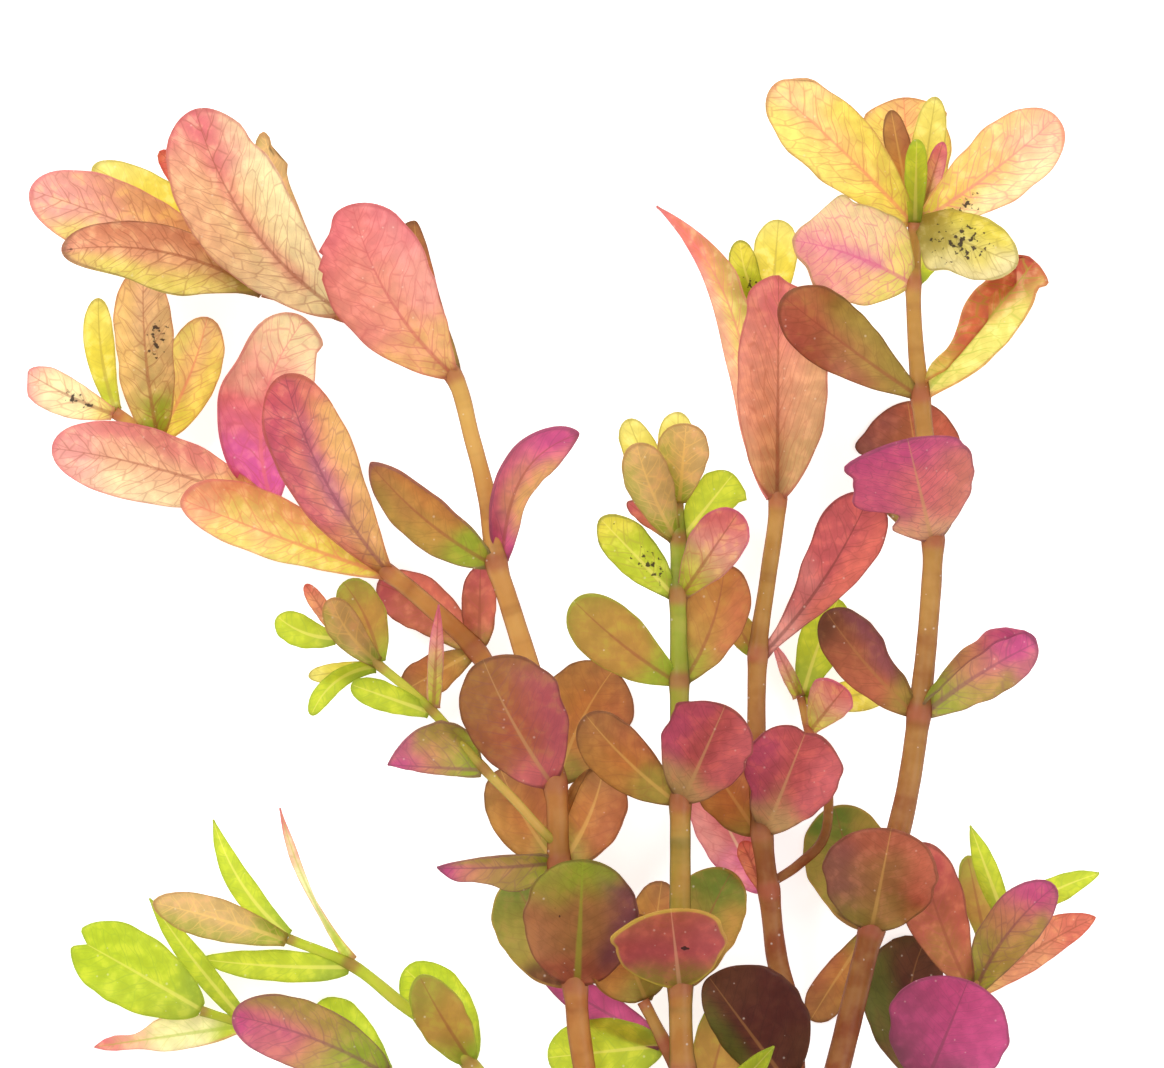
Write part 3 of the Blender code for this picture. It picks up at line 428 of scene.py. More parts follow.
# Each small leaf is one solid with its stem.
SMALL_LEAVES = leaves_of({
    "left_stem": [
        Leaf("left_tip_sliver", "sixth", (15.6, 92.0, -6.4), (2.0, 2.0), "salmon", bend=0.4,
             fold=0.0),
        Leaf("left_tip_torn_leaf", "sixth", (26.2, 93.8, 4.0), (2.0, 1.0), "tan", bend=0.9),
        Leaf("left_low_back_leaf", "second", (50.0, 29.8, 4.5), (3.2, 3.2), "salmon", bend=0.4,
             taper=0.75),
    ],
    "left_branch": [
        Leaf("branch_axil_leaf", "first", (48.0, 50.2, 4.5), (1.8, 1.6), "crimson", taper=0.7),
        Leaf("branch_axil_back_leaf", "first", (37.6, 48.4, 2.0), (2.8, 2.6), "crimson", bend=-1.0),
        Leaf("branch_axil_brown_leaf", "first", (40.2, 37.6, 5.0), (2.0, 2.0), "brown"),
        Leaf("branch_yellow_leaf", "fourth", (20.6, 75.2, 5.0), (3.0, 2.8), "yellow", bend=-0.6,
             taper=0.7),
        Leaf("branch_green_leaf", "tip", (9.5, 77.2, -3.0), (1.6, 1.4), "green", bend=0.6),
        Leaf("branch_cream_leaf", "tip", (2.6, 69.6, 8.5), (2.3, 1.8), "cream", bend=0.3),
    ],
    "side_shoot": [
        Leaf("shoot_folded_leaf", "first", (38.8, 30.4, 14.0), (0.6, 4.8), "magenta", taper=0.7,
             point=0.9),
        Leaf("shoot_needle", "second", (43.9, 46.4, 13.6), (0.7, 0.7), "pink", point=1.0),
        Leaf("shoot_low_leaf", "second", (35.2, 38.4, 14.6), (1.5, 1.4), "green"),
        Leaf("shoot_olive_leaf", "third", (34.4, 48.6, 14.4), (2.2, 2.2), "olive", bend=-0.6),
        Leaf("shoot_tan_leaf", "third", (33.2, 47.0, 16.0), (1.7, 1.7), "tan", bend=0.6),
        Leaf("shoot_yellow_leaf", "third", (30.9, 39.2, 13.0), (0.9, 0.9), "yellow"),
        Leaf("shoot_curled_leaf", "third", (31.2, 35.3, 14.0), (1.0, 1.0), "green", bend=-1.2),
        Leaf("shoot_green_leaf", "tip", (27.8, 45.2, 13.0), (1.6, 1.6), "green", bend=0.6),
        Leaf("shoot_salmon_leaf", "tip", (30.6, 48.4, 13.4), (0.8, 0.8), "salmon"),
    ],
    "centre_stem": [
        Leaf("centre_pink_leaf", "fourth", (73.8, 55.6, 17.0), (2.8, 2.6), "pink", arch=0.5,
             tilt=0.1),
        Leaf("centre_spotted_leaf", "fourth", (60.0, 55.0, 14.0), (2.2, 2.4), "yellow", tilt=0.2,
             point=0.6),
        Leaf("centre_tan_leaf", "fifth", (63.6, 62.4, 17.5), (2.2, 2.4), "tan", bend=0.4),
        Leaf("centre_green_leaf", "fifth", (73.3, 59.4, 11.5), (2.2, 2.2), "green"),
        Leaf("centre_red_leaf", "fifth", (62.7, 56.6, 12.4), (0.8, 0.8), "crimson"),
        Leaf("centre_bud_leaf", "tip", (68.6, 64.4, 15.0), (2.7, 2.5), "green"),
        Leaf("centre_yellow_leaf", "tip", (62.8, 64.9, 12.0), (1.8, 1.6), "yellow", bend=0.4),
        Leaf("centre_top_leaf", "tip", (67.8, 65.6, 11.0), (2.0, 1.6), "yellow"),
        Leaf("centre_foot_leaf", "foot", (73.2, 7.0, 8.0), (2.6, 2.6), "olive"),
        Leaf("centre_foot_green_leaf", "foot", (77.3, 2.4, 16.0), (1.3, 1.3), "green", point=0.9),
    ],
    "low_twig": [
        Leaf("twig_front_leaf", "tip", (61.2, 15.2, 9.0), (4.2, 4.4), "brown", tilt=-0.15,
             taper=0.6),
        Leaf("twig_back_leaf", "tip", (66.2, 18.5, 4.0), (2.6, 2.4), "brown"),
        Leaf("twig_magenta_leaf", "first", (54.0, 9.1, 3.5), (1.6, 1.8), "magenta", arch=-0.6,
             point=0.8),
        Leaf("twig_green_leaf", "first", (54.8, 0.8, 4.0), (3.4, 3.4), "green", taper=0.75),
    ],
    "inner_stem": [
        Leaf("inner_bud_leaf", "tip", (77.9, 84.9, 7.0), (2.2, 2.2), "yellow"),
        Leaf("inner_bud_green_leaf", "tip", (74.0, 82.8, 10.0), (1.4, 1.4), "green", bend=0.6),
        Leaf("inner_bud_spotted_leaf", "tip", (73.0, 79.4, 8.0), (1.5, 1.5), "yellow"),
        Leaf("inner_low_back_leaf", "second", (70.2, 31.6, 6.5), (3.0, 3.2), "brown", taper=0.75),
        Leaf("inner_middle_leaf", "third", (73.4, 45.0, 7.5), (1.4, 1.4), "olive"),
        Leaf("inner_low_strip_leaf", "first", (74.2, 22.6, 7.6), (1.0, 1.2), "salmon"),
    ],
    "back_shoot": [
        Leaf("back_green_leaf", "tip", (84.0, 46.9, 3.0), (2.2, 2.4), "green", bend=0.3),
        Leaf("back_yellow_leaf", "tip", (90.0, 38.8, 2.0), (1.7, 1.7), "yellow", bend=-0.8),
        Leaf("back_pink_strip", "tip", (77.4, 42.6, 3.6), (0.6, 0.6), "pink", point=1.0),
        Leaf("back_magenta_leaf", "first", (84.6, 38.0, 5.4), (2.8, 1.8), "magenta", taper=1.2),
    ],
    "right_stem": [
        Leaf("right_bud_brown_leaf", "tip", (89.1, 95.8, 9.5), (1.3, 1.3), "brown"),
        Leaf("right_bud_yellow_leaf", "tip", (93.6, 97.2, 8.0), (1.6, 1.6), "yellow"),
        Leaf("right_bud_green_leaf", "tip", (91.6, 92.8, 12.6), (1.1, 1.1), "green"),
        Leaf("right_bud_pink_leaf", "tip", (94.3, 92.6, 10.6), (0.9, 0.9), "pink"),
        Leaf("right_back_green_leaf", "fifth", (92.9, 83.0, 8.0), (1.8, 1.8), "green"),
        Leaf("right_low_hanging_leaf", "first", (81.2, 4.4, -4.0), (2.2, 1.8), "brown", taper=1.2),
    ],
    "right_side_shoot": [
        Leaf("shoot_back_leaf", "first", (92.8, 12.6, -5.4), (4.6, 3.2), "brown", bend=1.6,
             fold=0.0, taper=0.9),
        Leaf("shoot_olive_right_leaf", "second", (105.4, 18.3, 13.5), (2.8, 2.6), "olive", bend=0.9,
             taper=0.8),
        Leaf("shoot_coral_leaf", "second", (109.7, 15.0, 7.0), (2.4, 1.6), "salmon", bend=0.4,
             taper=0.75, point=0.7),
        Leaf("shoot_strip_leaf", "third", (96.8, 21.2, 8.0), (1.4, 1.4), "olive"),
        Leaf("shoot_green_needle", "tip", (97.0, 24.3, 10.6), (1.1, 1.1), "green", point=1.0),
        Leaf("shoot_green_blade", "tip", (110.1, 19.5, 9.8), (1.3, 1.3), "green", bend=0.5,
             point=0.9),
    ],
    "low_left_shoot": [
        Leaf("low_left_green_leaf", "first", (40.3, 9.6, -3.0), (3.0, 3.1), "green", bend=-0.8,
             fold=0.0, taper=0.8),
        Leaf("low_left_olive_leaf", "first", (41.9, 9.2, 8.0), (2.6, 2.4), "olive", bend=0.2,
             taper=0.8, point=0.6),
        Leaf("low_left_thread_leaf", "second", (27.9, 26.0, 6.4), (0.6, 0.5), "pink", bend=0.9,
             point=0.9),
        Leaf("low_left_strap_leaf", "second", (19.8, 10.7, 3.6), (1.5, 1.5), "green", bend=0.3,
             taper=0.7, point=0.7),
        Leaf("low_left_needle", "tip", (21.2, 24.8, 6.0), (1.3, 1.1), "green", bend=1.1, point=1.0),
        Leaf("low_left_tan_leaf", "tip", (15.2, 16.5, 8.0), (2.2, 2.0), "tan", bend=-0.2,
             point=0.6),
    ],
    "low_left_fork": [
        Leaf("low_left_back_leaf", "first", (31.6, 6.2, -1.0), (2.4, 2.4), "green"),
        Leaf("low_left_narrow_leaf", "second", (14.8, 16.9, 6.5), (1.1, 1.1), "green", bend=0.3,
             point=0.9),
        Leaf("low_left_tailed_leaf", "second", (9.0, 1.7, -1.0), (1.5, 1.9), "pink", point=0.9),
    ],
})
print("leaves:", len(LARGE_LEAVES), "large and", len(SMALL_LEAVES), "small")

# %% [markdown]
# ## The shape of a blade
# A blade runs along its midrib from the node to its tip. Across, it rises to both sides, and the
# soft margin waves, curls over or is torn in places. A point on a disc is pulled into this shape,
# so one grid serves every leaf. Detail holds what the photograph shows beyond the main form.

# %% Where a leaf starts
PETIOLE_HALF_WIDTH = 0.6
LEAF_THICKNESS = 0.3
SOFT_CONTACT = 0.7  # how round a leaf bends where it reaches the surface
START_SHARE = 0.5  # a midrib starts this share of the stem's radius away from its middle
ROLL_START = 0.66  # a margin rolls up from this share of its half
CREASE = 0.6  # and is folded back from this one


def node_of(stem_name, node_name):
    """The centre, the direction and the radius of the stem at one of its nodes."""
    path = STEMS[stem_name]
    index = [row[4] for row in path].index(node_name)
    before = Vector(path[max(index - 1, 0)][:3])
    after = Vector(path[min(index + 1, len(path) - 1)][:3])
    return Vector(path[index][:3]), (after - before).normalized(), path[index][3]


def leaf_base(leaf):
    """The start of the midrib, just inside the stem on the side that faces the leaf."""
    centre, direction, radius = node_of(leaf.stem, leaf.node)
    outwards = Vector(leaf.tip) - centre
    outwards -= outwards.dot(direction) * direction
    top = Vector((0, 0, 1)) - direction.z * direction
    outwards = outwards.normalized() + leaf.front * top
    return centre + outwards.normalized() * START_SHARE * radius


# %% Details of single leaves
class Detail(NamedTuple):
    """What the margin does, in millimetres and in shares of the blade's length."""

    wave: float = 0.25  # how high the margin waves
    curl: float = 0.0  # how much the tip rises, or falls where it is negative
    left_roll: float = 0.0  # how far the left margin rolls up and over, in radians
    right_roll: float = 0.0
    left_flap: float = 0.0  # how much of the left half lies folded back over the blade
    cleft: float = 0.0  # how deep the tip is split
    bumps: tuple = ()  # side, share of the length, how far out (in where negative), half-length


DETAILS = {
    "left_tip_front_leaf": Detail(wave=0.32, curl=1.0, bumps=((1, 0.8, -0.5, 0.1),)),
    "left_tip_lower_leaf": Detail(curl=1.4, bumps=((-1, 0.42, 1.5, 0.4),)),
    "left_tip_torn_leaf": Detail(bumps=((1, 0.9, -0.6, 0.04), (1, 0.8, 0.6, 0.05),
        (-1, 0.85, 0.5, 0.06))),
    "left_upper_front_leaf": Detail(wave=0.32, bumps=((-1, 0.9, -0.9, 0.1), (-1, 0.8, -0.9, 0.03),
        (-1, 0.73, -0.4, 0.02))),
    "left_middle_left_leaf": Detail(right_roll=0.7),
    "left_middle_right_leaf": Detail(curl=1.6, left_roll=1.2, bumps=((1, 0.45, -0.7, 0.4),)),
    "left_low_left_leaf": Detail(curl=1.6, bumps=((-1, 0.62, -0.9, 0.3),)),
    "left_low_right_leaf": Detail(left_flap=0.3),
    "left_foot_front_leaf": Detail(wave=0.32, right_roll=0.6),
    "branch_upper_leaf": Detail(wave=0.32, curl=0.8, left_roll=0.9, bumps=((-1, 0.72, -0.8, 0.25),
        (1, 0.96, 0.9, 0.07))),
    "branch_front_leaf": Detail(wave=0.32, left_roll=0.7),
    "branch_upright_leaf": Detail(bumps=((-1, 0.5, -0.5, 0.4), (1, 0.5, -0.2, 0.4))),
    "centre_low_front_leaf": Detail(wave=0.328, right_roll=0.8, bumps=((-1, 0.75, 0.8, 0.15),)),
    "centre_node_front_leaf": Detail(wave=0.32, bumps=((-1, 0.85, 0.6, 0.1), (1, 0.6, -0.4, 0.1))),
    "inner_tip_front_leaf": Detail(wave=0.3, bumps=((-1, 0.93, 0.9, 0.12), (1, 0.88, 0.7, 0.12),
        (1, 0.97, -0.8, 0.05))),
    "inner_tip_left_leaf": Detail(curl=1.5, wave=0.32, bumps=((1, 0.62, -0.6, 0.1),)),
    "inner_low_front_leaf": Detail(wave=0.32, cleft=0.5, bumps=((-1, 0.3, -0.5, 0.15),)),
    "right_tip_back_leaf": Detail(bumps=((-1, 0.88, 0.9, 0.12), (1, 0.88, 0.9, 0.12))),
    "right_tip_lower_leaf": Detail(left_roll=0.8, wave=0.32, bumps=((1, 0.25, 1.2, 0.2),)),
    "right_upper_front_leaf": Detail(wave=0.32, bumps=((1, 0.9, -0.5, 0.1), (1, 0.72, 0.7, 0.12),
        (1, 0.25, 0.6, 0.15), (-1, 0.55, 0.6, 0.1), (-1, 0.85, -0.7, 0.12))),
    "right_upper_right_leaf": Detail(left_flap=1.0, bumps=((-1, 0.35, -1.2, 0.3),
        (-1, 0.94, 1.1, 0.12), (1, 0.95, 1.3, 0.08))),
    "right_middle_front_leaf": Detail(wave=0.328, bumps=((-1, 0.9, 1.9, 0.17),
        (-1, 0.32, -2.2, 0.14), (-1, 0.54, 0.5, 0.12), (1, 0.9, 0.6, 0.1))),
    "right_middle_back_leaf": Detail(bumps=((-1, 0.75, 0.8, 0.1), (-1, 0.62, -1.0, 0.07))),
    "right_lower_right_leaf": Detail(left_flap=0.45, bumps=((-1, 0.75, 0.6, 0.15),)),
    "right_lower_left_leaf": Detail(right_roll=0.9, bumps=((1, 0.4, -0.5, 0.2),)),
    "centre_green_leaf": Detail(wave=0.2, bumps=((1, 0.88, 0.9, 0.12),)),
    "low_left_heart_leaf": Detail(wave=0.2, cleft=1.6),
    "low_left_thread_leaf": Detail(bumps=((-1, 0.35, -0.4, 0.4), (1, 0.35, -0.4, 0.4))),
    "low_left_tailed_leaf": Detail(wave=0.32, bumps=((-1, 0.72, -0.5, 0.2), (1, 0.72, -0.9, 0.2))),
    "shoot_folded_leaf": Detail(wave=0.32, right_roll=0.9),
    "right_low_front_leaf": Detail(wave=0.32, right_roll=0.9),
}

# %% The blade function
FLAP_HEIGHT = 0.7  # of a folded margin over the blade
RIPPLE = 0.07  # how uneven a margin is, as a share of its half
CLEFT_START = 0.7  # a tip is split from this share of the length
CLEFT_HALF_WIDTH = 0.22
TIP_CURL_START = 0.72  # and curls from this share
MARGIN_POWER = 2.5  # how much the waves keep to the margin
WAVES = 13  # along the blade, in radians
FINE_WAVES = 29
FINE_WAVE_HEIGHT = 0.35  # as a share of a wave's
SIDE_LAG = 2.1  # how far the right margin's waves are from the left one's
CLEARANCE = 0.02  # between a leaf and the surface it lies on
SIZE_LOW, SIZE_HIGH = (Vector(corner) / MM for corner in cad_box)


def blade_width(leaf, share):
    """The blade's width at a share of its length, as a part of its widest."""
    widest = leaf.taper / (leaf.taper + leaf.point)
    most = widest**leaf.taper * (1 - widest) ** leaf.point
    return share**leaf.taper * (1 - share) ** leaf.point / most


def rolled(reach, half, roll):
    """How far out and how high a point goes when the outer third of its half curls over."""
    flat = ROLL_START * half
    beyond = abs(reach) - flat
    if roll <= 0 or beyond <= 0:
        return abs(reach), 0.0
    radius = (1 - ROLL_START) * half / roll
    angle = beyond / radius
    return flat + radius * math.sin(angle), radius * (1 - math.cos(angle))


def folded(reach, half, flap):
    """The same for a half that is folded back: it goes out to the crease and returns on top."""
    part = abs(reach) / max(half, 1e-6)
    if part < CREASE:
        return half * part / CREASE, 0.0
    back = (part - CREASE) / (1 - CREASE)
    return half * (1 - flap * back), FLAP_HEIGHT * min(1.0, 3 * back)


def bulge(detail, side, share):
    """How far single bumps and notches move the margin out or in."""
    total = 0.0
    for where, middle, size, spread in detail.bumps:
        if side * where > 0:
            off = min(1.0, abs(share - middle) / spread)
            total += size * (0.5 + 0.5 * math.cos(math.pi * off))
    return total


def blade_point(leaf, detail, base, across, along):
    """The place of a point of the disc, and its four pattern values."""
    share = (along + 1) / 2
    rim = math.sqrt(max(1 - along * along, 1e-6))
    side = max(-1.0, min(1.0, across / rim))
    chord = Vector(leaf.tip) - base
    left = Vector((-chord.y, chord.x, 0)).normalized()
    bow = 4 * share * (1 - share)
    lean = 1 + leaf.skew * (2 * share - 1)
    middle = base + chord * share + left * leaf.bend * bow * lean
    slope = 4 * (1 - 2 * share) * lean + 2 * leaf.skew * bow
    heading = chord + left * leaf.bend * slope
    right = Vector((heading.y, -heading.x, 0)).normalized()
    seed = leaf.tip[0] * 3.7 + leaf.tip[1] * 1.9
    half = leaf.half[0] if side < 0 else leaf.half[1]
    ripple = RIPPLE * noise.noise(Vector((seed, 7 * share, 3 * (side > 0))))
    half = max(half * blade_width(leaf, share) * (1 + ripple) + bulge(detail, side, share), 0.1)
    half += PETIOLE_HALF_WIDTH * (1 - share) ** 3
    reach = side * half
    roll = detail.left_roll if side < 0 else detail.right_roll
    if detail.left_flap and side < 0:
        out, lift = folded(reach, half, detail.left_flap * min(1.0, 1.7 * bow))
    else:
        out, lift = rolled(reach, half, roll * bow)
    place = middle + right * math.copysign(out, side)
    split = max(0.0, 1 - abs(across) / CLEFT_HALF_WIDTH)
    split *= max(0.0, (share - CLEFT_START) / (1 - CLEFT_START)) ** 2
    place -= heading.normalized() * detail.cleft * split
    swing = math.sin(WAVES * share + seed + (SIDE_LAG if side > 0 else 0.0))
    swing += FINE_WAVE_HEIGHT * math.sin(FINE_WAVES * share + 2 * seed)
    rise = leaf.arch * bow + leaf.tilt * reach + leaf.fold * abs(reach) + lift
    rise += detail.wave * abs(side) ** MARGIN_POWER * swing * min(1.0, half / 2)
    rise += detail.curl * max(0.0, (share - TIP_CURL_START) / (1 - TIP_CURL_START)) ** 2
    lowest = LEAF_THICKNESS / 2 + CLEARANCE
    above = (place.z + rise - lowest) / SOFT_CONTACT
    height = lowest + SOFT_CONTACT * (max(above, 0.0) + math.log1p(math.exp(-abs(above))))
    place = Vector((place.x - MIDDLE_X, place.y - MIDDLE_Y, height))
    for axis in range(3):
        low = SIZE_LOW[axis] + LEAF_THICKNESS / 2
        high = SIZE_HIGH[axis] - LEAF_THICKNESS / 2
        place[axis] = min(max(place[axis], low), high)
    margin = (1 - math.hypot(across, along)) * min(half + 1.0, 4.0)
    return place * MM, (side, share, reach, margin)


# %% Making a leaf
LARGE_GRID = (16, 30)
SMALL_GRID = (8, 16)
SMALL_WAVE = 0.15


def make_leaf(leaf, grid, material):
    """A leaf: a square grid made round, pulled along the midrib, with its pattern in UV maps."""
    plain = Detail() if grid == LARGE_GRID else Detail(wave=SMALL_WAVE)
    detail = DETAILS.get(leaf.name, plain)
    base = leaf_base(leaf)
    blade = bmesh.new()
    bmesh.ops.create_grid(blade, x_segments=grid[0], y_segments=grid[1], size=1.0)
    values = {}
    for vertex in blade.verts:
        u, v = vertex.co.x, vertex.co.y
        across = u * math.sqrt(1 - v * v / 2)
        along = v * math.sqrt(1 - u * u / 2)
        vertex.co, values[vertex] = blade_point(leaf, detail, base, across, along)
    blade_map = blade.loops.layers.uv.new("Blade")
    reach_map = blade.loops.layers.uv.new("Reach")
    growth_map = blade.loops.layers.uv.new("Growth")
    length = max((Vector(leaf.tip) - base).length, 2 * sum(leaf.half))
    seed = leaf.tip[0] * 0.37  # makes each leaf's veins its own
    for face in blade.faces:
        for loop in face.loops:
            side, share, reach, margin = values[loop.vert]
            loop[blade_map].uv = (side, share)
            loop[reach_map].uv = (reach, margin)
            loop[growth_map].uv = (length, seed)
    mesh = bpy.data.meshes.new(leaf.name)
    blade.to_mesh(mesh)
    blade.free()
    mesh.shade_smooth()
    mesh.materials.append(material)
    piece = bpy.data.objects.new(leaf.name + "_blade", mesh)
    bpy.context.scene.collection.objects.link(piece)
    solidify = piece.modifiers.new("Thickness", "SOLIDIFY")
    solidify.thickness = LEAF_THICKNESS * MM
    solidify.offset = 0.0
    return piece


print("details on", len(DETAILS), "leaves")

# %% [markdown]
# ## Colours by name
# A leaf's finish is a short recipe of named colours. Each colour is written as a colour picker
# shows it, from 0 to 255, and is turned into the linear light that shaders work with.

# %% Colour words
PAINTS = {
    "white": (252, 242, 228),
    "cream": (252, 242, 186),
    "lemon": (244, 232, 120),
    "yellow": (236, 222, 78),
    "lime": (200, 214, 56),
    "leaf": (166, 186, 58),
    "green": (112, 136, 50),
    "moss": (92, 102, 44),
    "olive": (172, 154, 68),
    "ochre": (198, 152, 74),
    "amber": (246, 204, 122),
    "apricot": (250, 210, 148),
    "peach": (250, 198, 154),
    "tan": (214, 178, 118),
    "honey": (226, 184, 98),
    "dusty": (216, 144, 110),
    "blush": (242, 166, 138),
    "sienna": (156, 82, 62),
    "copper": (200, 128, 66),
    "russet": (146, 76, 42),
    "salmon": (238, 162, 118),
    "coral": (232, 124, 102),
    "rose": (230, 122, 128),
    "pink": (244, 172, 162),
    "fuchsia": (226, 100, 182),
    "magenta": (212, 88, 142),
    "violet": (168, 84, 160),
    "plum": (140, 78, 96),
    "crimson": (198, 92, 94),
    "red": (208, 88, 72),
    "brick": (190, 106, 78),
    "brown": (178, 124, 74),
    "umber": (112, 68, 48),
    "maroon": (98, 50, 44),
    "soot": (44, 36, 34),
}


def linear(name):
    """The linear colour of a colour word."""
    parts = [c / 255 for c in PAINTS[name]]
    return (*[c / 12.92 if c <= 0.04045 else ((c + 0.055) / 1.055) ** 2.4 for c in parts], 1.0)


print("colour words:", len(PAINTS))

# %% [markdown]
# ## Shader nodes in few words
# Small helpers add a math node, a soft step, a mix of two colours or a texture. They keep the node
# groups below short enough to read.

# %% Node helpers
THROUGH_GAMMA = 0.45


def fill(tree, socket, value):
    """Links a value that is a socket into a socket, and sets one that is a number or colour."""
    if isinstance(value, bpy.types.NodeSocket):
        tree.links.new(value, socket)
    else:
        socket.default_value = value


def calc(tree, operation, *values, clamp=False):
    """The result of one math node."""
    node = tree.nodes.new("ShaderNodeMath")
    node.operation = operation
    node.use_clamp = clamp
    for socket, value in zip(node.inputs, values):
        fill(tree, socket, value)
    return node.outputs[0]


def soft_step(tree, value, low, high, to_low=0.0, to_high=1.0):
    """A smooth change from to_low to to_high while value goes from low to high."""
    node = tree.nodes.new("ShaderNodeMapRange")
    node.interpolation_type = "SMOOTHSTEP"
    for socket, number in zip(node.inputs[:5], (value, low, high, to_low, to_high)):
        fill(tree, socket, number)
    return node.outputs[0]


def blend(tree, share, first, second, kind="MIX"):
    """A mix of two colours."""
    node = tree.nodes.new("ShaderNodeMix")
    node.data_type = "RGBA"
    node.blend_type = kind
    node.clamp_factor = True
    fill(tree, node.inputs["Factor"], share)
    fill(tree, node.inputs[6], first)
    fill(tree, node.inputs[7], second)
    return node.outputs[2]


def flat_place(tree, across, along):
    """A place on a plane, from two values."""
    node = tree.nodes.new("ShaderNodeCombineXYZ")
    fill(tree, node.inputs[0], across)
    fill(tree, node.inputs[1], along)
    return node.outputs[0]


def noise_at(tree, place, scale, detail):
    """Noise at a place, from 0 to 1."""
    node = tree.nodes.new("ShaderNodeTexNoise")
    node.noise_dimensions = "2D"
    tree.links.new(place, node.inputs["Vector"])
    node.inputs["Scale"].default_value = scale
    node.inputs["Detail"].default_value = detail
    return node.outputs["Fac"]


def cells_at(tree, place, scale, feature="F1"):
    """A Voronoi node at a place."""
    node = tree.nodes.new("ShaderNodeTexVoronoi")
    node.voronoi_dimensions = "2D"
    node.feature = feature
    tree.links.new(place, node.inputs["Vector"])
    node.inputs["Scale"].default_value = scale
    return node


def cloudy(tree, scale, detail=2.0, seed=0.0):
    """Noise on the object's own coordinates, from 0 to 1."""
    move = tree.nodes.new("ShaderNodeVectorMath")
    tree.links.new(tree.nodes.new("ShaderNodeTexCoord").outputs["Object"], move.inputs[0])
    move.inputs[1].default_value = (seed, seed, 0)
    return noise_at(tree, move.outputs[0], scale, detail)


def map_values(tree, name):
    """The two values of a UV map."""
    source = tree.nodes.new("ShaderNodeUVMap")
    source.uv_map = name
    split = tree.nodes.new("ShaderNodeSeparateXYZ")
    tree.links.new(source.outputs[0], split.inputs[0])
    return split.outputs[0], split.outputs[1]


def new_group(name, inputs, outputs):
    """A shader node group with named sockets, and its input and output nodes."""
    group = bpy.data.node_groups.new(name, "ShaderNodeTree")
    for label, kind, value in inputs:
        socket = group.interface.new_socket(label, in_out="INPUT", socket_type="NodeSocket" + kind)
        socket.default_value = value
    for label, kind in outputs:
        group.interface.new_socket(label, in_out="OUTPUT", socket_type="NodeSocket" + kind)
    given = group.nodes.new("NodeGroupInput").outputs
    return group, given, group.nodes.new("NodeGroupOutput").inputs


def use_group(tree, group, given=None, labels=()):
    """A node of the group, with its inputs of these labels linked to the values given."""
    node = tree.nodes.new("ShaderNodeGroup")
    node.node_tree = group
    for label in labels:
        tree.links.new(given[label], node.inputs[label])
    return node


def link_through(tree, colour, wanted):
    """Puts out the colour, and a brighter one for the light that comes through."""
    tree.links.new(colour, wanted["Colour"])
    bright = tree.nodes.new("ShaderNodeGamma")
    tree.links.new(colour, bright.inputs["Color"])
    bright.inputs["Gamma"].default_value = THROUGH_GAMMA
    tree.links.new(bright.outputs[0], wanted["Through"])


# %% [markdown]
# ## Veins
# A thin midrib runs to the tip. Side veins leave it in pairs, arch forwards, fork and fade near the
# margin, and a fine net lies between them. A repeating ramp along the blade, bent by the distance
# from the midrib, makes the arches. Voronoi cells stretched the same way fork between them, because
# the walls of cells meet as veins do. The net lies where soft noise crosses its middle value.

# %% Vein group
SWAY = 1.5  # how far a side vein strays, in millimetres
RIGHT_SHIFT = 0.45  # the veins of the right half leave between those of the left
ARCH_WIDTHS = (0.1, 0.035)  # at the midrib and at the margin, as a share of the spacing
FORK_WIDTH = 0.075
FORK_STRENGTH = 0.7
NET_WIDTH = 0.035
NET_STRENGTH = 0.34
VEIN_INPUTS = [
    ("Spacing", "Float", 2.0),
    ("Slope", "Float", 1.0),
    ("Midrib Width", "Float", 0.3),
    ("Edge Width", "Float", 0.15),
]
veins, given, wanted = new_group(
    "leaf veins", VEIN_INPUTS, [("Midrib", "Float"), ("Lines", "Float"), ("Edge", "Float")]
)
side, share = map_values(veins, "Blade")
reach, margin = map_values(veins, "Reach")
length, seed = map_values(veins, "Growth")
away = calc(veins, "ABSOLUTE", reach)
sway = calc(veins, "MULTIPLY", calc(veins, "SUBTRACT", cloudy(veins, 300, 1.0), 0.5), SWAY)
forward = calc(veins, "MULTIPLY", calc(veins, "POWER", away, 1.1), given["Slope"])
outwards = calc(veins, "SUBTRACT", calc(veins, "MULTIPLY", share, length), forward)
steps = calc(veins, "DIVIDE", calc(veins, "ADD", outwards, sway), given["Spacing"])
on_right = calc(veins, "GREATER_THAN", side, 0.0)
steps = calc(veins, "ADD", steps, calc(veins, "MULTIPLY", on_right, RIGHT_SHIFT))
outer = calc(veins, "ABSOLUTE", side)
width = soft_step(veins, outer, 0.0, 1.0, *ARCH_WIDTHS)
arches = soft_step(veins, calc(veins, "PINGPONG", steps, 0.5), 0.0, width, 1.0, 0.0)
arches = calc(veins, "MULTIPLY", arches, soft_step(veins, outer, 0.6, 1.0, 1.0, 0.3))
own_pattern = calc(veins, "ADD", seed, calc(veins, "MULTIPLY", on_right, 7.3))
across = calc(veins, "ADD", calc(veins, "MULTIPLY", away, 0.42), own_pattern)
stretched = flat_place(veins, across, steps)
walls = cells_at(veins, stretched, 1.5, "DISTANCE_TO_EDGE").outputs["Distance"]
forks = soft_step(veins, walls, 0.0, FORK_WIDTH, FORK_STRENGTH, 0.0)
ripples = noise_at(veins, stretched, 4.0, 0.0)
off_middle = calc(veins, "ABSOLUTE", calc(veins, "SUBTRACT", ripples, 0.5))
net = soft_step(veins, off_middle, 0.0, NET_WIDTH, NET_STRENGTH, 0.0)
lines = calc(veins, "MAXIMUM", arches, calc(veins, "MAXIMUM", forks, net))
thin = calc(veins, "MULTIPLY", given["Midrib Width"], soft_step(veins, share, 0.0, 1.05, 1.0, 0.2))
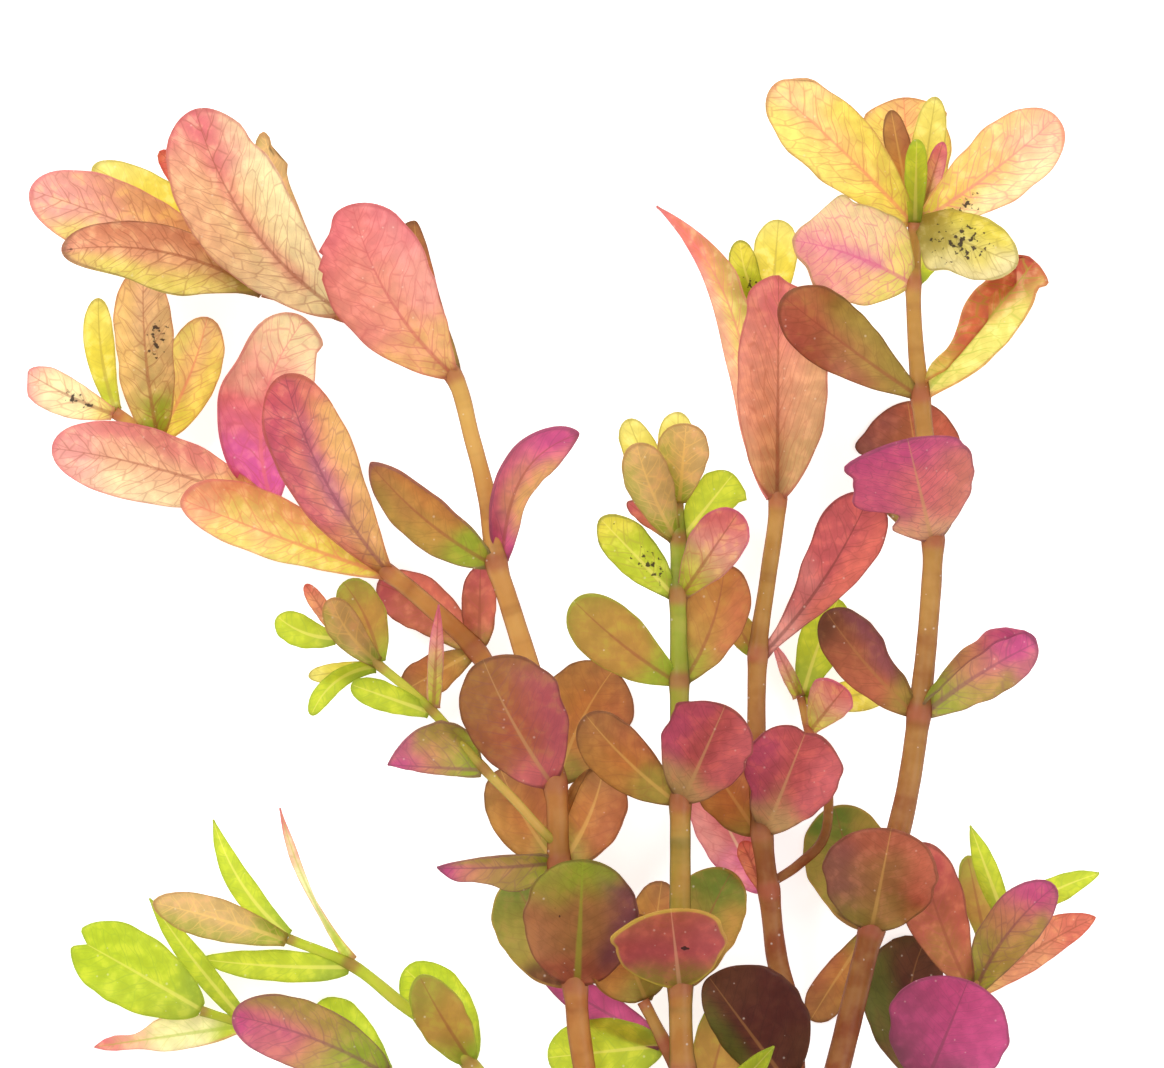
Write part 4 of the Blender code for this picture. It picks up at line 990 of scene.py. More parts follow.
midrib = soft_step(veins, calc(veins, "DIVIDE", away, thin), 0.4, 1.0, 1.0, 0.0)
edge = soft_step(veins, calc(veins, "DIVIDE", margin, given["Edge Width"]), 0.3, 1.0, 1.0, 0.0)
for label, value in zip(("Midrib", "Lines", "Edge"), (midrib, lines, edge)):
    veins.links.new(value, wanted[label])
print("vein group:", len(veins.nodes), "nodes")

# %% [markdown]
# ## Spots and specks
# Some leaves carry small black spots in one patch, where they have begun to rot, and many have tiny
# pale specks of lime. The specks are the middles of Voronoi cells, and the spots are blots of soft
# noise, only inside a round patch that each finish places on the blade.

# %% Spot group
HALF_TO_LENGTH = 0.4  # a half's width as a share of the length, so that a patch is round
SPOT_INPUTS = [
    ("Spot Side", "Float", 0.0),
    ("Spot Share", "Float", 0.5),
    ("Spot Reach", "Float", 0.0),
    ("Specks", "Float", 0.3),
]
spots, given, wanted = new_group(
    "leaf spots", SPOT_INPUTS, [("Spots", "Float"), ("Specks", "Float")]
)
side, share = map_values(spots, "Blade")
off_side = calc(spots, "SUBTRACT", side, given["Spot Side"])
from_side = calc(spots, "MULTIPLY", off_side, HALF_TO_LENGTH)
from_share = calc(spots, "SUBTRACT", share, given["Spot Share"])
squares = [calc(spots, "MULTIPLY", value, value) for value in (from_side, from_share)]
distance = calc(spots, "SQRT", calc(spots, "ADD", *squares))
outwards = calc(spots, "DIVIDE", distance, given["Spot Reach"])
inside = soft_step(spots, outwards, 0.1, 1.0, 0.07, -0.2)
blots = soft_step(spots, calc(spots, "ADD", cloudy(spots, 1700, 2.0, 8.0), inside), 0.6, 0.67)
wears_spots = calc(spots, "GREATER_THAN", given["Spot Reach"], 0.0)
spots.links.new(calc(spots, "MULTIPLY", blots, wears_spots), wanted["Spots"])


def dots(tree, scale, low, high, most):
    """The middles of some Voronoi cells, as round dots."""
    cells = cells_at(tree, tree.nodes.new("ShaderNodeTexCoord").outputs["Object"], scale)
    split = tree.nodes.new("ShaderNodeSeparateColor")
    tree.links.new(cells.outputs["Color"], split.inputs[0])
    chosen = calc(tree, "LESS_THAN", split.outputs[0], most)
    larger = calc(tree, "ADD", calc(tree, "MULTIPLY", split.outputs[1], 1.2), 0.4)
    size = calc(tree, "DIVIDE", cells.outputs["Distance"], larger)
    return calc(tree, "MULTIPLY", soft_step(tree, size, low, high, 1.0, 0.0), chosen)


pale = calc(spots, "MULTIPLY", dots(spots, 1000, 0.02, 0.11, 0.12), given["Specks"])
spots.links.new(pale, wanted["Specks"])
print("spot group:", len(spots.nodes), "nodes")

# %% [markdown]
# ## The colour of a blade
# Along a leaf the colour goes from a greenish base to a redder tip, and each flank can turn to a
# colour of its own. Soft noise makes the change uneven. Over it lie cloudy mottling, the veins, the
# dark line of the margin, the spots and the specks.

# %% Blade colour group
def colour_inputs(labels):
    """Input sockets for colours."""
    return [(label, "Color", (1, 1, 1, 1)) for label in labels]


BLADE_COLOURS = (
    "Base", "Middle", "Tip", "Left", "Right", "Vein", "Midrib", "Streak", "Edge", "Mottle"
)
BLADE_INPUTS = [
    ("Base Reach", "Float", 0.4),
    ("Left Amount", "Float", 0.0),
    ("Right Amount", "Float", 0.0),
    ("Streak Amount", "Float", 0.0),
    ("Vein Amount", "Float", 0.5),
]
SURFACE_OUTPUTS = [("Colour", "Color"), ("Through", "Color"), ("Roughness", "Float")]
DARK_CLOUD = 0.84
PALE_CLOUD = 1.08
blade_group, given, wanted = new_group(
    "blade colour",
    colour_inputs(BLADE_COLOURS) + BLADE_INPUTS + VEIN_INPUTS + SPOT_INPUTS,
    SURFACE_OUTPUTS,
)
tree = blade_group
side, share = map_values(tree, "Blade")
reach, _ = map_values(tree, "Reach")
drift = calc(tree, "MULTIPLY", calc(tree, "SUBTRACT", cloudy(tree, 170, 1.0), 0.5), 0.5)
along = calc(tree, "ADD", share, drift)
past_base = soft_step(tree, along, 0.06, given["Base Reach"])
colour = blend(tree, past_base, given["Base"], given["Middle"])
colour = blend(tree, soft_step(tree, along, 0.5, 0.95), colour, given["Tip"])
towards = calc(tree, "ADD", side, calc(tree, "MULTIPLY", drift, 1.3))
from_base = soft_step(tree, along, 0.02, calc(tree, "MULTIPLY", given["Base Reach"], 0.9))
open_part = calc(tree, "MULTIPLY", from_base, soft_step(tree, along, 0.72, 1.0, 1.0, 0.2))
on_left = calc(tree, "MULTIPLY", soft_step(tree, towards, -0.1, -0.75), open_part)
on_right = calc(tree, "MULTIPLY", soft_step(tree, towards, 0.1, 0.75), open_part)
for flank, label in ((on_left, "Left"), (on_right, "Right")):
    amount = calc(tree, "MULTIPLY", flank, given[label + " Amount"])
    colour = blend(tree, amount, colour, given[label])
beside = soft_step(tree, calc(tree, "ABSOLUTE", reach), 0.2, 1.5, 1.0, 0.0)
beside = calc(tree, "MULTIPLY", beside, soft_step(tree, along, 0.1, 0.35))
beside = calc(tree, "MULTIPLY", beside, soft_step(tree, along, 0.6, 0.9, 1.0, 0.2))
streak = calc(tree, "MULTIPLY", beside, given["Streak Amount"])
colour = blend(tree, streak, colour, given["Streak"])
clouds = cloudy(tree, 800, 3.0, 3.0)
colour = blend(tree, soft_step(tree, clouds, 0.5, 0.7, 0.0, 0.26), colour, given["Mottle"])
shade = soft_step(tree, clouds, 0.3, 0.75, DARK_CLOUD, PALE_CLOUD)
shade_colour = tree.nodes.new("ShaderNodeCombineColor")
for socket in shade_colour.inputs:
    tree.links.new(shade, socket)
colour = blend(tree, 1.0, colour, shade_colour.outputs[0], "MULTIPLY")
pattern = use_group(tree, veins, given, [label for label, *_ in VEIN_INPUTS])
lines = calc(tree, "MULTIPLY", pattern.outputs["Lines"], given["Vein Amount"])
colour = blend(tree, lines, colour, given["Vein"])
for label, strength in (("Midrib", 0.65), ("Edge", 0.6)):
    line = calc(tree, "MULTIPLY", pattern.outputs[label], strength)
    colour = blend(tree, line, colour, given[label])
marks = use_group(tree, spots, given, [label for label, *_ in SPOT_INPUTS])
colour = blend(tree, marks.outputs["Specks"], colour, linear("white"))
colour = blend(tree, marks.outputs["Spots"], colour, linear("soot"))
link_through(tree, colour, wanted)
tree.links.new(soft_step(tree, shade, DARK_CLOUD, PALE_CLOUD, 0.52, 0.4), wanted["Roughness"])
print("blade colour group:", len(tree.nodes), "nodes")

# %% [markdown]
# ## Leaf finishes
# Most large leaves have a recipe of their own, because a rotala's colour depends on how much light
# each leaf had. The others and the small leaves share one. A Principled shader gives the soft gloss
# of the surface and a Translucent one the light from behind: a mix of both makes a thin leaf glow.

# %% Finish recipes
class Finish(NamedTuple):
    """Colour words for one leaf, with how strong each flank, streak and vein is."""

    base: str
    middle: str
    tip: str
    left: str = ""
    right: str = ""
    vein: str = "sienna"
    midrib: str = "sienna"
    streak: str = ""
    edge: str = "brick"
    mottle: str = "cream"
    base_reach: float = 0.4
    flanks: tuple = (0.85, 0.85)
    vein_amount: float = 0.7
    midrib_width: float = 0.3
    edge_width: float = 0.16
    spacing: float = 2.0
    slope: float = 1.0
    spots: tuple = (0.0, 0.5, 0.0)
    specks: float = 0.5


FINISHES = {
    "left_tip_front_leaf": Finish("cream", "apricot", "rose", "peach", "cream", streak="rose",
        edge="crimson", base_reach=0.7),
    "left_tip_upper_leaf": Finish("tan", "peach", "pink", "lemon", "dusty", edge="rose",
        mottle="lemon", flanks=(0.8, 0.5)),
    "left_tip_lower_leaf": Finish("olive", "peach", "blush", "lemon", "dusty", edge="umber",
        flanks=(1.0, 0.7), spots=(0.0, 0.95, 0.05)),
    "left_upper_front_leaf": Finish("amber", "blush", "rose", "rose", "pink", vein="crimson",
        midrib="crimson", edge="crimson", mottle="pink", base_reach=0.5, flanks=(0.4, 0.5)),
    "left_middle_left_leaf": Finish("leaf", "ochre", "brown", "olive", "copper", vein="umber",
        edge="plum", mottle="ochre", flanks=(0.5, 0.7), vein_amount=0.3),
    "left_middle_right_leaf": Finish("magenta", "dusty", "magenta", "magenta", "honey", vein="plum",
        edge="plum", mottle="rose", flanks=(0.7, 0.7), vein_amount=0.5, slope=2.0),
    "left_node_front_leaf": Finish("rose", "brick", "brown", "brown", "magenta", vein="plum",
        edge="umber", midrib="tan", mottle="olive", flanks=(0.5, 0.4), vein_amount=0.4),
    "left_foot_front_leaf": Finish("brick", "brown", "leaf", "dusty", "plum", vein="umber",
        midrib="leaf", midrib_width=0.5, edge="umber", specks=0.8, mottle="brown",
        flanks=(0.4, 0.85), vein_amount=0.3, spots=(-0.4, 0.6, 0.1)),
    "branch_front_leaf": Finish("honey", "blush", "rose", "magenta", "amber", vein="plum",
        midrib="plum", streak="violet", edge="brick", mottle="peach", flanks=(0.6, 0.9)),
    "branch_lower_leaf": Finish("yellow", "lemon", "peach", "lemon", "coral", vein="coral",
        midrib="coral", edge="rose", base_reach=0.7, flanks=(0.7, 0.6)),
    "branch_upper_leaf": Finish("fuchsia", "rose", "cream", "rose", "pink", vein="crimson",
        midrib="rose", edge="crimson", mottle="pink", base_reach=0.55, flanks=(0.4, 0.3)),
    "branch_left_leaf": Finish("lemon", "peach", "pink", "cream", "rose", edge="rose",
        flanks=(0.6, 0.75)),
    "branch_upright_leaf": Finish("leaf", "tan", "peach", "amber", "tan", edge="brick",
        mottle="apricot", base_reach=0.55, spots=(0.5, 0.6, 0.28)),
    "centre_left_leaf": Finish("leaf", "ochre", "olive", vein="brown", edge="leaf", specks=0.7,
        mottle="leaf", vein_amount=0.35),
    "centre_right_leaf": Finish("leaf", "ochre", "copper", "", "coral", edge="umber",
        mottle="olive", flanks=(0.5, 0.5), vein_amount=0.35),
    "centre_node_front_leaf": Finish("tan", "crimson", "crimson", "magenta", "rose", vein="maroon",
        midrib="tan", edge="umber", mottle="coral", base_reach=0.5, flanks=(0.5, 0.8),
        vein_amount=0.35),
    "centre_low_front_leaf": Finish("olive", "crimson", "brick", "", "rose", vein="crimson",
        edge="yellow", midrib="peach", mottle="coral", base_reach=0.5, edge_width=0.24,
        flanks=(0.5, 0.5), vein_amount=0.5, spots=(0.2, 0.5, 0.08)),
    "centre_low_back_leaf": Finish("umber", "olive", "green", "", "ochre", vein="umber",
        edge="ochre", mottle="brown", specks=0.7, vein_amount=0.3),
    "inner_tip_front_leaf": Finish("tan", "blush", "rose", "pink", "tan", vein="brick",
        edge="crimson", mottle="peach", base_reach=0.65, flanks=(0.5, 0.6), spacing=2.4, slope=2.6),
    "inner_tip_left_leaf": Finish("pink", "lemon", "coral", "pink", "olive", vein="rose",
        midrib="rose", edge="rose", slope=2.0, flanks=(0.7, 0.5), spots=(0.3, 0.4, 0.3)),
    "inner_right_leaf": Finish("pink", "crimson", "crimson", "", "coral", vein="maroon",
        midrib="maroon", edge="maroon", mottle="coral", base_reach=0.6, flanks=(0.5, 0.6),
        vein_amount=0.4),
    "inner_low_left_leaf": Finish("fuchsia", "rose", "rose", "pink", "", vein="crimson",
        midrib="cream", edge="magenta", mottle="pink"),
    "inner_foot_leaf": Finish("umber", "maroon", "umber", "green", "", vein="soot", midrib="brown",
        edge="umber", mottle="umber", flanks=(0.5, 0.5), vein_amount=0.4, specks=0.8),
    "right_tip_left_leaf": Finish("yellow", "amber", "apricot", "lemon", "yellow", vein="brick",
        midrib="coral", edge="brick", mottle="lemon", base_reach=0.6, flanks=(0.9, 0.7)),
    "right_tip_right_leaf": Finish("yellow", "amber", "peach", "lemon", "cream", vein="rose",
        midrib="rose", edge="coral", base_reach=0.5, flanks=(0.5, 0.8), vein_amount=0.85,
        spots=(0.4, 0.22, 0.3)),
    "right_tip_lower_leaf": Finish("olive", "lemon", "cream", "yellow", "cream", vein="olive",
        midrib="olive", edge="olive", base_reach=0.6, spots=(0.0, 0.45, 0.5)),
    "right_upper_front_leaf": Finish("lemon", "peach", "pink", "pink", "cream", vein="magenta",
        midrib="magenta", streak="fuchsia", edge="olive", mottle="pink", base_reach=0.6,
        vein_amount=0.9, flanks=(0.6, 0.7)),
    "right_upper_left_leaf": Finish("olive", "brown", "brick", "crimson", "olive", edge="umber",
        vein="umber", mottle="olive", base_reach=0.55, flanks=(0.4, 0.8), vein_amount=0.35),
    "right_upper_right_leaf": Finish("lemon", "lemon", "red", "coral", "lemon", vein="leaf",
        midrib="leaf", edge="red", mottle="cream", flanks=(1.0, 0.9)),
    "right_middle_front_leaf": Finish("peach", "rose", "magenta", "magenta", "dusty", vein="plum",
        midrib="tan", edge="plum", mottle="rose", base_reach=0.5, flanks=(0.7, 0.5)),
    "right_middle_back_leaf": Finish("olive", "brown", "brick", "plum", "coral", vein="umber",
        midrib="honey", edge="umber", mottle="dusty", flanks=(0.5, 0.6), vein_amount=0.35),
    "right_lower_left_leaf": Finish("olive", "brick", "umber", "", "plum", vein="umber",
        midrib="brown", edge="umber", mottle="brown", flanks=(0.5, 0.7), vein_amount=0.4,
        specks=0.8),
    "shoot_upright_leaf": Finish("olive", "brick", "crimson", "", "coral", vein="crimson",
        edge="umber", mottle="salmon", flanks=(0.5, 0.5), vein_amount=0.5),
    "low_left_pink_leaf": Finish("leaf", "dusty", "magenta", "", "olive", vein="plum",
        midrib="plum", edge="plum", mottle="dusty", base_reach=0.7, vein_amount=0.6),
}
# Leaves in the shade, and small ones, share a recipe.
SHARED_BY = {
    "yellow": ("left_tip_back_leaf", "branch_green_leaf"),
    "brown": ("left_upper_back_leaf", "left_low_right_leaf", "left_node_back_leaf",
        "centre_node_left_leaf", "left_low_back_leaf"),
    "low_left_pink_leaf": ("left_low_left_leaf", "shoot_folded_leaf", "right_lower_right_leaf",
        "shoot_olive_right_leaf"),
    "centre_low_back_leaf": ("left_foot_back_leaf", "right_low_back_leaf"),
    "pink": ("back_magenta_leaf",),
    "centre_node_front_leaf": ("inner_low_front_leaf",),
    "right_tip_left_leaf": ("right_tip_back_leaf", "branch_yellow_leaf"),
    "right_middle_back_leaf": ("right_low_front_leaf",),
    "magenta": ("shoot_front_leaf",),
    "inner_foot_leaf": ("shoot_back_leaf",),
    "green": ("low_left_heart_leaf",),
    "pale": ("low_left_tailed_leaf", "low_left_thread_leaf"),
    "spotted": ("inner_bud_green_leaf", "inner_bud_spotted_leaf", "centre_spotted_leaf"),
    "tan": ("centre_bud_leaf",),
    "centre_left_leaf": ("low_left_olive_leaf", "olive"),
    "shoot_upright_leaf": ("crimson",),
}
SHARED = {leaf: recipe for recipe, leaves in SHARED_BY.items() for leaf in leaves}
SMALL_FINISHES = {
    "tan": Finish("leaf", "tan", "tan", "leaf", "", vein="amber", midrib="amber", edge="brown",
        mottle="blush", flanks=(0.5, 0.5)),
    "cream": Finish("lemon", "cream", "pink", vein="brick", edge="rose", spots=(0.0, 0.4, 0.3)),
    "pale": Finish("lime", "cream", "rose", vein="leaf", midrib="leaf", edge="rose",
        vein_amount=0.4),
    "spotted": Finish("leaf", "lime", "yellow", vein="olive", midrib="lemon", edge="moss",
        mottle="lemon", spots=(0.2, 0.35, 0.4)),
    "yellow": Finish("lime", "yellow", "lemon", vein="olive", midrib="olive", edge="olive",
        vein_amount=0.3),
    "green": Finish("leaf", "lime", "lime", vein="leaf", midrib="lemon", edge="leaf",
        mottle="yellow"),
    "salmon": Finish("amber", "salmon", "coral", edge="red", mottle="amber"),
    "brown": Finish("olive", "copper", "brown", "ochre", "brick", vein="sienna", midrib="honey",
        edge="umber", mottle="ochre", flanks=(0.5, 0.5), vein_amount=0.4),
    "pink": Finish("lime", "pink", "rose", vein="crimson", edge="magenta", mottle="lemon",
        base_reach=0.6),
    "magenta": Finish("plum", "magenta", "magenta", "plum", "", vein="plum", midrib="plum",
        edge="plum", mottle="magenta", flanks=(0.4, 0.5), vein_amount=0.4),
}


# %% Leaf materials
STREAK_AMOUNT = 0.5


def join_sockets(tree, source, target, names):
    """Links outputs of source to the sockets of target of the paired names."""
    for given_name, wanted_name in names.items():
        tree.links.new(source.outputs[given_name], target.inputs[wanted_name])


def new_plant_material(name, group, refraction, share_through):
    """A material with a glossy surface and, mixed into it, light that comes through from behind."""
    material = bpy.data.materials.new(name)
    material.use_nodes = True
    tree = material.node_tree
    surface = tree.nodes["Principled BSDF"]
    surface.inputs["IOR"].default_value = refraction
    through = tree.nodes.new("ShaderNodeBsdfTranslucent")
    both = tree.nodes.new("ShaderNodeMixShader")
    both.inputs["Fac"].default_value = share_through
    tree.links.new(surface.outputs[0], both.inputs[1])
    tree.links.new(through.outputs[0], both.inputs[2])
    tree.links.new(both.outputs[0], tree.nodes["Material Output"].inputs["Surface"])
    return material, use_group(tree, group), surface, through


def leaf_material(name, finish):
    """A thin leaf: a glossy surface mixed with light that comes through from behind."""
    material, colours, surface, through = new_plant_material(
        "finish_" + name, blade_group, refraction=1.42, share_through=0.72
    )
    for label in BLADE_COLOURS:
        word = getattr(finish, label.lower()) or finish.middle
        colours.inputs[label].default_value = linear(word)
    left, right = finish.flanks
    spot_side, spot_share, spot_reach = finish.spots
    numbers = {
        "Base Reach": finish.base_reach,
        "Left Amount": left if finish.left else 0.0,
        "Right Amount": right if finish.right else 0.0,
        "Streak Amount": STREAK_AMOUNT if finish.streak else 0.0,
        "Vein Amount": finish.vein_amount,
        "Midrib Width": finish.midrib_width,
        "Edge Width": finish.edge_width,
        "Spacing": finish.spacing,
        "Slope": finish.slope,
        "Spot Side": spot_side,
        "Spot Share": spot_share,
        "Spot Reach": spot_reach,
        "Specks": finish.specks,
    }
    for label, number in numbers.items():
        colours.inputs[label].default_value = number
    surface.inputs["Specular IOR Level"].default_value = 0.35
    tree = material.node_tree
    join_sockets(tree, colours, surface, {"Colour": "Base Color", "Roughness": "Roughness"})
    join_sockets(tree, colours, through, {"Through": "Color"})
    return material


leaf_materials = {name: leaf_material(name, finish)
                  for name, finish in (FINISHES | SMALL_FINISHES).items()}
print("leaf finishes:", len(leaf_materials))


def finish_for(leaf):
    """The material of a leaf: its own, or one that it shares."""
    own = leaf.name if leaf.name in FINISHES or leaf.name in SHARED else leaf.colour
    return leaf_materials[SHARED.get(own, own)]


# %% [markdown]
# ## The stems' finish
# A living stem is half see-through: tan to orange-brown low down, greener near its tip, with fine
# fibres along it and a darker ring where leaves grow. Its own UV map says how far along and how
# far round a point is, and a second one how far the next node is.

# %% Stem colour group
FIBRES_ROUND = 2.4  # fibres lie close together round a stem, and are long along it
FIBRES_ALONG = 0.16
STEM_COLOURS = ("Low", "High", "Ring", "Fibre")
stem_group, given, wanted = new_group(
    "stem colour",
    colour_inputs(STEM_COLOURS),
    [*SURFACE_OUTPUTS, ("Height", "Float")],
)
tree = stem_group
round_mm, along_mm = map_values(tree, "Bark")
part, node_mm = map_values(tree, "Growth")
stretched = flat_place(
    tree,
    calc(tree, "MULTIPLY", round_mm, FIBRES_ROUND),
    calc(tree, "MULTIPLY", along_mm, FIBRES_ALONG),
)
fibres = noise_at(tree, stretched, 1.6, 3.0)
drift = calc(tree, "MULTIPLY", calc(tree, "SUBTRACT", cloudy(tree, 120), 0.5), 0.6)
upwards = soft_step(tree, calc(tree, "ADD", part, drift), 0.2, 0.95)
colour = blend(tree, upwards, given["Low"], given["High"])
colour = blend(tree, soft_step(tree, fibres, 0.5, 0.72, 0.0, 0.6), colour, given["Fibre"])
uneven = calc(tree, "ADD", node_mm, calc(tree, "MULTIPLY", drift, 1.5))
ring = soft_step(tree, uneven, 0.3, 1.3, 0.8, 0.0)
colour = blend(tree, ring, colour, given["Ring"])
patches = soft_step(tree, cloudy(tree, 380, 3.0, 5.0), 0.35, 0.7, 0.0, 0.2)
colour = blend(tree, patches, colour, linear("amber"))
specks = calc(tree, "MULTIPLY", dots(tree, 1300, 0.04, 0.14, 0.1), 0.7)
colour = blend(tree, specks, colour, linear("white"))
link_through(tree, colour, wanted)
tree.links.new(soft_step(tree, fibres, 0.3, 0.7, 0.34, 0.5), wanted["Roughness"])
lumps = calc(tree, "ADD", fibres, calc(tree, "MULTIPLY", ring, 0.4))
tree.links.new(lumps, wanted["Height"])
print("stem colour group:", len(tree.nodes), "nodes")


# %% Stem materials
def stem_material(name, low, high, ring, fibre_and_edge_shade):
    """A stem's surface, half of it light that comes through, with painted shade darker towards its
    sides.
    """
    material, colours, surface, through = new_plant_material(
        "stem_" + name, stem_group, refraction=1.45, share_through=0.55
    )
    for label, word in zip(STEM_COLOURS, (low, high, ring, fibre_and_edge_shade)):
        colours.inputs[label].default_value = linear(word)
    tree = material.node_tree
    bump = tree.nodes.new("ShaderNodeBump")
    bump.inputs["Strength"].default_value = 0.4
    bump.inputs["Distance"].default_value = 0.15 * MM
    join_sockets(tree, colours, surface, {"Roughness": "Roughness"})
    join_sockets(tree, colours, bump, {"Height": "Height"})
    join_sockets(tree, bump, surface, {"Normal": "Normal"})
    # Painted shade: where the surface turns away from the camera, the colour and the light from
    # behind blend towards the darker fibre colour.
    facing = tree.nodes.new("ShaderNodeLayerWeight").outputs["Facing"]
    rim = soft_step(tree, facing, 0.25, 0.9, 0.0, 0.75)
    targets = {"Colour": surface.inputs["Base Color"], "Through": through.inputs["Color"]}
    for label, socket in targets.items():
        tree.links.new(blend(tree, rim, colours.outputs[label], linear(fibre_and_edge_shade)), socket)
    return material


STEM_FINISHES = {
    "tan": stem_material("tan", "copper", "honey", "brick", "russet"),
    "green": stem_material("green", "copper", "leaf", "brick", "moss"),
    "lime": stem_material("lime", "honey", "lime", "brown", "leaf"),
    "orange": stem_material("orange", "russet", "ochre", "brick", "russet"),
}
WEARS = {"centre_stem": "green", "left_stem": "tan", "left_branch": "tan", "side_shoot": "lime",
         "inner_stem": "orange", "right_stem": "orange", "right_side_shoot": "orange",
         "low_left_shoot": "lime", "low_left_fork": "lime", "back_shoot": "orange",
         "low_twig": "orange"}

# %% [markdown]
# ## Modelling a stem
# A stem is a circle, extruded ring by ring along a smooth curve through its path, and a little
# thicker at each node. Each ring is the last one moved by a matrix, so it turns with the stem. Its
# lower end was cut, so the cut shows a rim round its middle.

# %% Rings of a stem
RING_SPACING = 0.8
SIDES = 18
SIDE_WIDTH = 0.35  # of one side of a stem, in millimetres
SLIMMER = 0.94  # a stem's radius beside the CAD model's, which leaves room for its nodes
UNEVENNESS = 0.05
SWELLING = 0.16  # how much thicker a stem is at its nodes
SWELLING_LENGTH = 1.1
RIND = 0.16 * MM  # the rim round the middle of a cut
FAR = 99.0


def on_curve(before, start, end, after, share):
    """A point on the smooth curve through start and end (Catmull-Rom)."""
    return 0.5 * (
        2 * start
        + (end - before) * share
        + (2 * before - 5 * start + 4 * end - after) * share**2
        + (3 * start - before - 3 * end + after) * share**3
    )


def stem_rings(path):
    """Centre and radius of each ring, with how far along it is and how far the next node is."""
    points = [Vector(row[:4]) for row in path]
    padded = [2 * points[0] - points[1], *points, 2 * points[-1] - points[-2]]
    rings = [points[0]]
    for index in range(1, len(points)):
        before, start, end, after = padded[index - 1 : index + 3]
        steps = max(1, round((end - start).length / RING_SPACING))
        rings += [on_curve(before, start, end, after, k / steps) for k in range(1, steps + 1)]
    nodes = [Vector(row[:3]) for row in path if row[4] and row[4] != "root"]
    along = [0.0]
    for first, second in zip(rings, rings[1:]):
        along.append(along[-1] + (second - first).xyz.length)
    return [
        (r.xyz, r[3], distance, min([(r.xyz - node).length for node in nodes] + [FAR]))
        for r, distance in zip(rings, along)
    ]


def ring_matrix(rings, index):
    """The matrix that puts a unit circle where a ring is."""
    centre, radius, along, from_node = rings[index]
    before = rings[max(index - 1, 0)][0]
    after = rings[min(index + 1, len(rings) - 1)][0]
    turn = (after - before).to_track_quat("Z", "Y")
    swelling = 1 + SWELLING * math.exp(-((from_node / SWELLING_LENGTH) ** 2))
    swelling += UNEVENNESS * noise.noise(Vector((along * 0.35, radius * 9, 0)))
    place = Matrix.Translation((centre - Vector((MIDDLE_X, MIDDLE_Y, 0))) * MM)
    return place @ turn.to_matrix().to_4x4() @ Matrix.Scale(SLIMMER * radius * swelling * MM, 4)


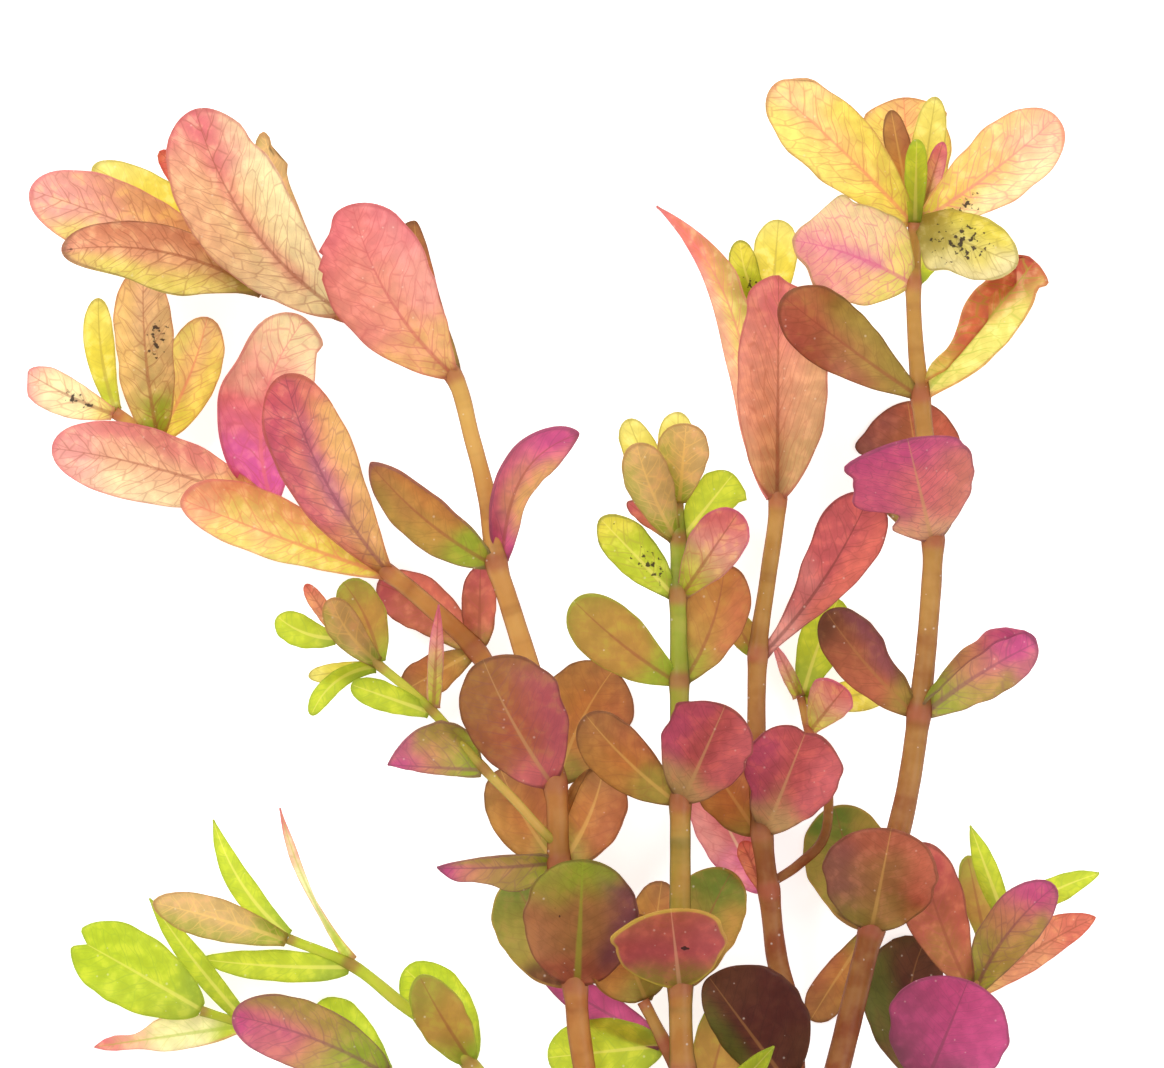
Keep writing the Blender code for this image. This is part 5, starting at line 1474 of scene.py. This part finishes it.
# %% Stem mesh
def make_stem(name, path, material):
    """A stem as a tube with two closed ends and its growth in UV maps."""
    rings = stem_rings(path)
    tube = bmesh.new()
    last = ring_matrix(rings, 0)
    start = bmesh.ops.create_circle(tube, segments=SIDES, radius=1.0, matrix=last)["verts"]
    growth = {v: (0.0, k) for k, v in enumerate(start)}
    edges = list(tube.edges)
    for index in range(1, len(rings)):
        result = bmesh.ops.extrude_edge_only(tube, edges=edges)["geom"]
        edges = [g for g in result if isinstance(g, bmesh.types.BMEdge)]
        fresh = [g for g in result if isinstance(g, bmesh.types.BMVert)]
        edges = [e for e in edges if e.verts[0] in fresh and e.verts[1] in fresh]
        for vertex in fresh:
            others = [edge.other_vert(vertex) for edge in vertex.link_edges]
            below = next(other for other in others if other in growth)
            growth[vertex] = (rings[index][2], growth[below][1])
        now = ring_matrix(rings, index)
        bmesh.ops.transform(tube, matrix=now @ last.inverted(), verts=fresh)
        last = now
    open_edges = [e for e in tube.edges if e.is_boundary]
    for face in bmesh.ops.holes_fill(tube, edges=open_edges, sides=0)["faces"]:
        bmesh.ops.inset_individual(tube, faces=[face], thickness=RIND, depth=0.0)
        bmesh.ops.poke(tube, faces=[face])
    bmesh.ops.recalc_face_normals(tube, faces=tube.faces)
    bark = tube.loops.layers.uv.new("Bark")
    grown = tube.loops.layers.uv.new("Growth")
    length = rings[-1][2]
    near = {along: from_node for _, _, along, from_node in rings}
    for face in tube.faces:
        known = [growth[v] for v in face.verts if v in growth]
        # The face that closes the tube runs on to SIDES, not back to 0.
        seam = bool(known) and max(k for _, k in known) == SIDES - 1
        for loop in face.loops:
            along, turn = growth.get(loop.vert, (known[0][0] if known else 0.0, 0))
            turn = turn + SIDES if seam and turn < 2 else turn
            loop[bark].uv = (turn * SIDE_WIDTH, along)
            loop[grown].uv = (along / length, near[along])
    mesh = bpy.data.meshes.new(name)
    tube.to_mesh(mesh)
    tube.free()
    mesh.shade_smooth()
    mesh.materials.append(material)
    piece = bpy.data.objects.new(name + "_plant", mesh)
    bpy.context.scene.collection.objects.link(piece)
    return piece


# %% [markdown]
# ## Growing the plant
# Each large leaf is a piece of its own over its CAD solid. Small leaves, buds and twigs are joined
# to the stem that carries them, as in the CAD model. The Thickness modifier of a small leaf is
# applied before it is joined.

# %% Large leaves
for leaf in LARGE_LEAVES:
    piece = make_leaf(leaf, LARGE_GRID, finish_for(leaf))
    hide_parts(leaf.name)
    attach(piece, "root")
print("large leaves:", len(LARGE_LEAVES))


# %% Stems with their small leaves
def applied(piece):
    """The piece with its modifiers applied to its mesh."""
    graph = bpy.context.evaluated_depsgraph_get()
    piece.data = bpy.data.meshes.new_from_object(piece.evaluated_get(graph))
    piece.modifiers.clear()
    return piece


def join_pieces(main, others):
    """Joins the others to the main piece."""
    everything = [main, *others]
    with bpy.context.temp_override(active_object=main, object=main, selected_objects=everything,
                                   selected_editable_objects=everything):
        bpy.ops.object.join()


for name, path in STEMS.items():
    if name in TWIGS:
        continue
    stem = make_stem(name, path, STEM_FINISHES[WEARS[name]])
    twigs = [twig for twig, carrier in TWIGS.items() if carrier == name]
    parts = [make_stem(twig, STEMS[twig], STEM_FINISHES[WEARS[twig]]) for twig in twigs]
    for leaf in SMALL_LEAVES:
        if leaf.stem in (name, *twigs):
            parts.append(applied(make_leaf(leaf, SMALL_GRID, finish_for(leaf))))
    join_pieces(stem, parts)
    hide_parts(name)
    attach(stem, "root")
    print(name, "with", len(parts), "small parts:", len(stem.data.polygons), "faces")

# %% [markdown]
# ## Measuring
# The visual model has to keep the CAD model's size. The CAD model's box is printed.

# %% Sizes and the end
print("materials:", len(bpy.data.materials))
print("cad box:", [[round(v / MM, 2) for v in c] for c in cad_box])
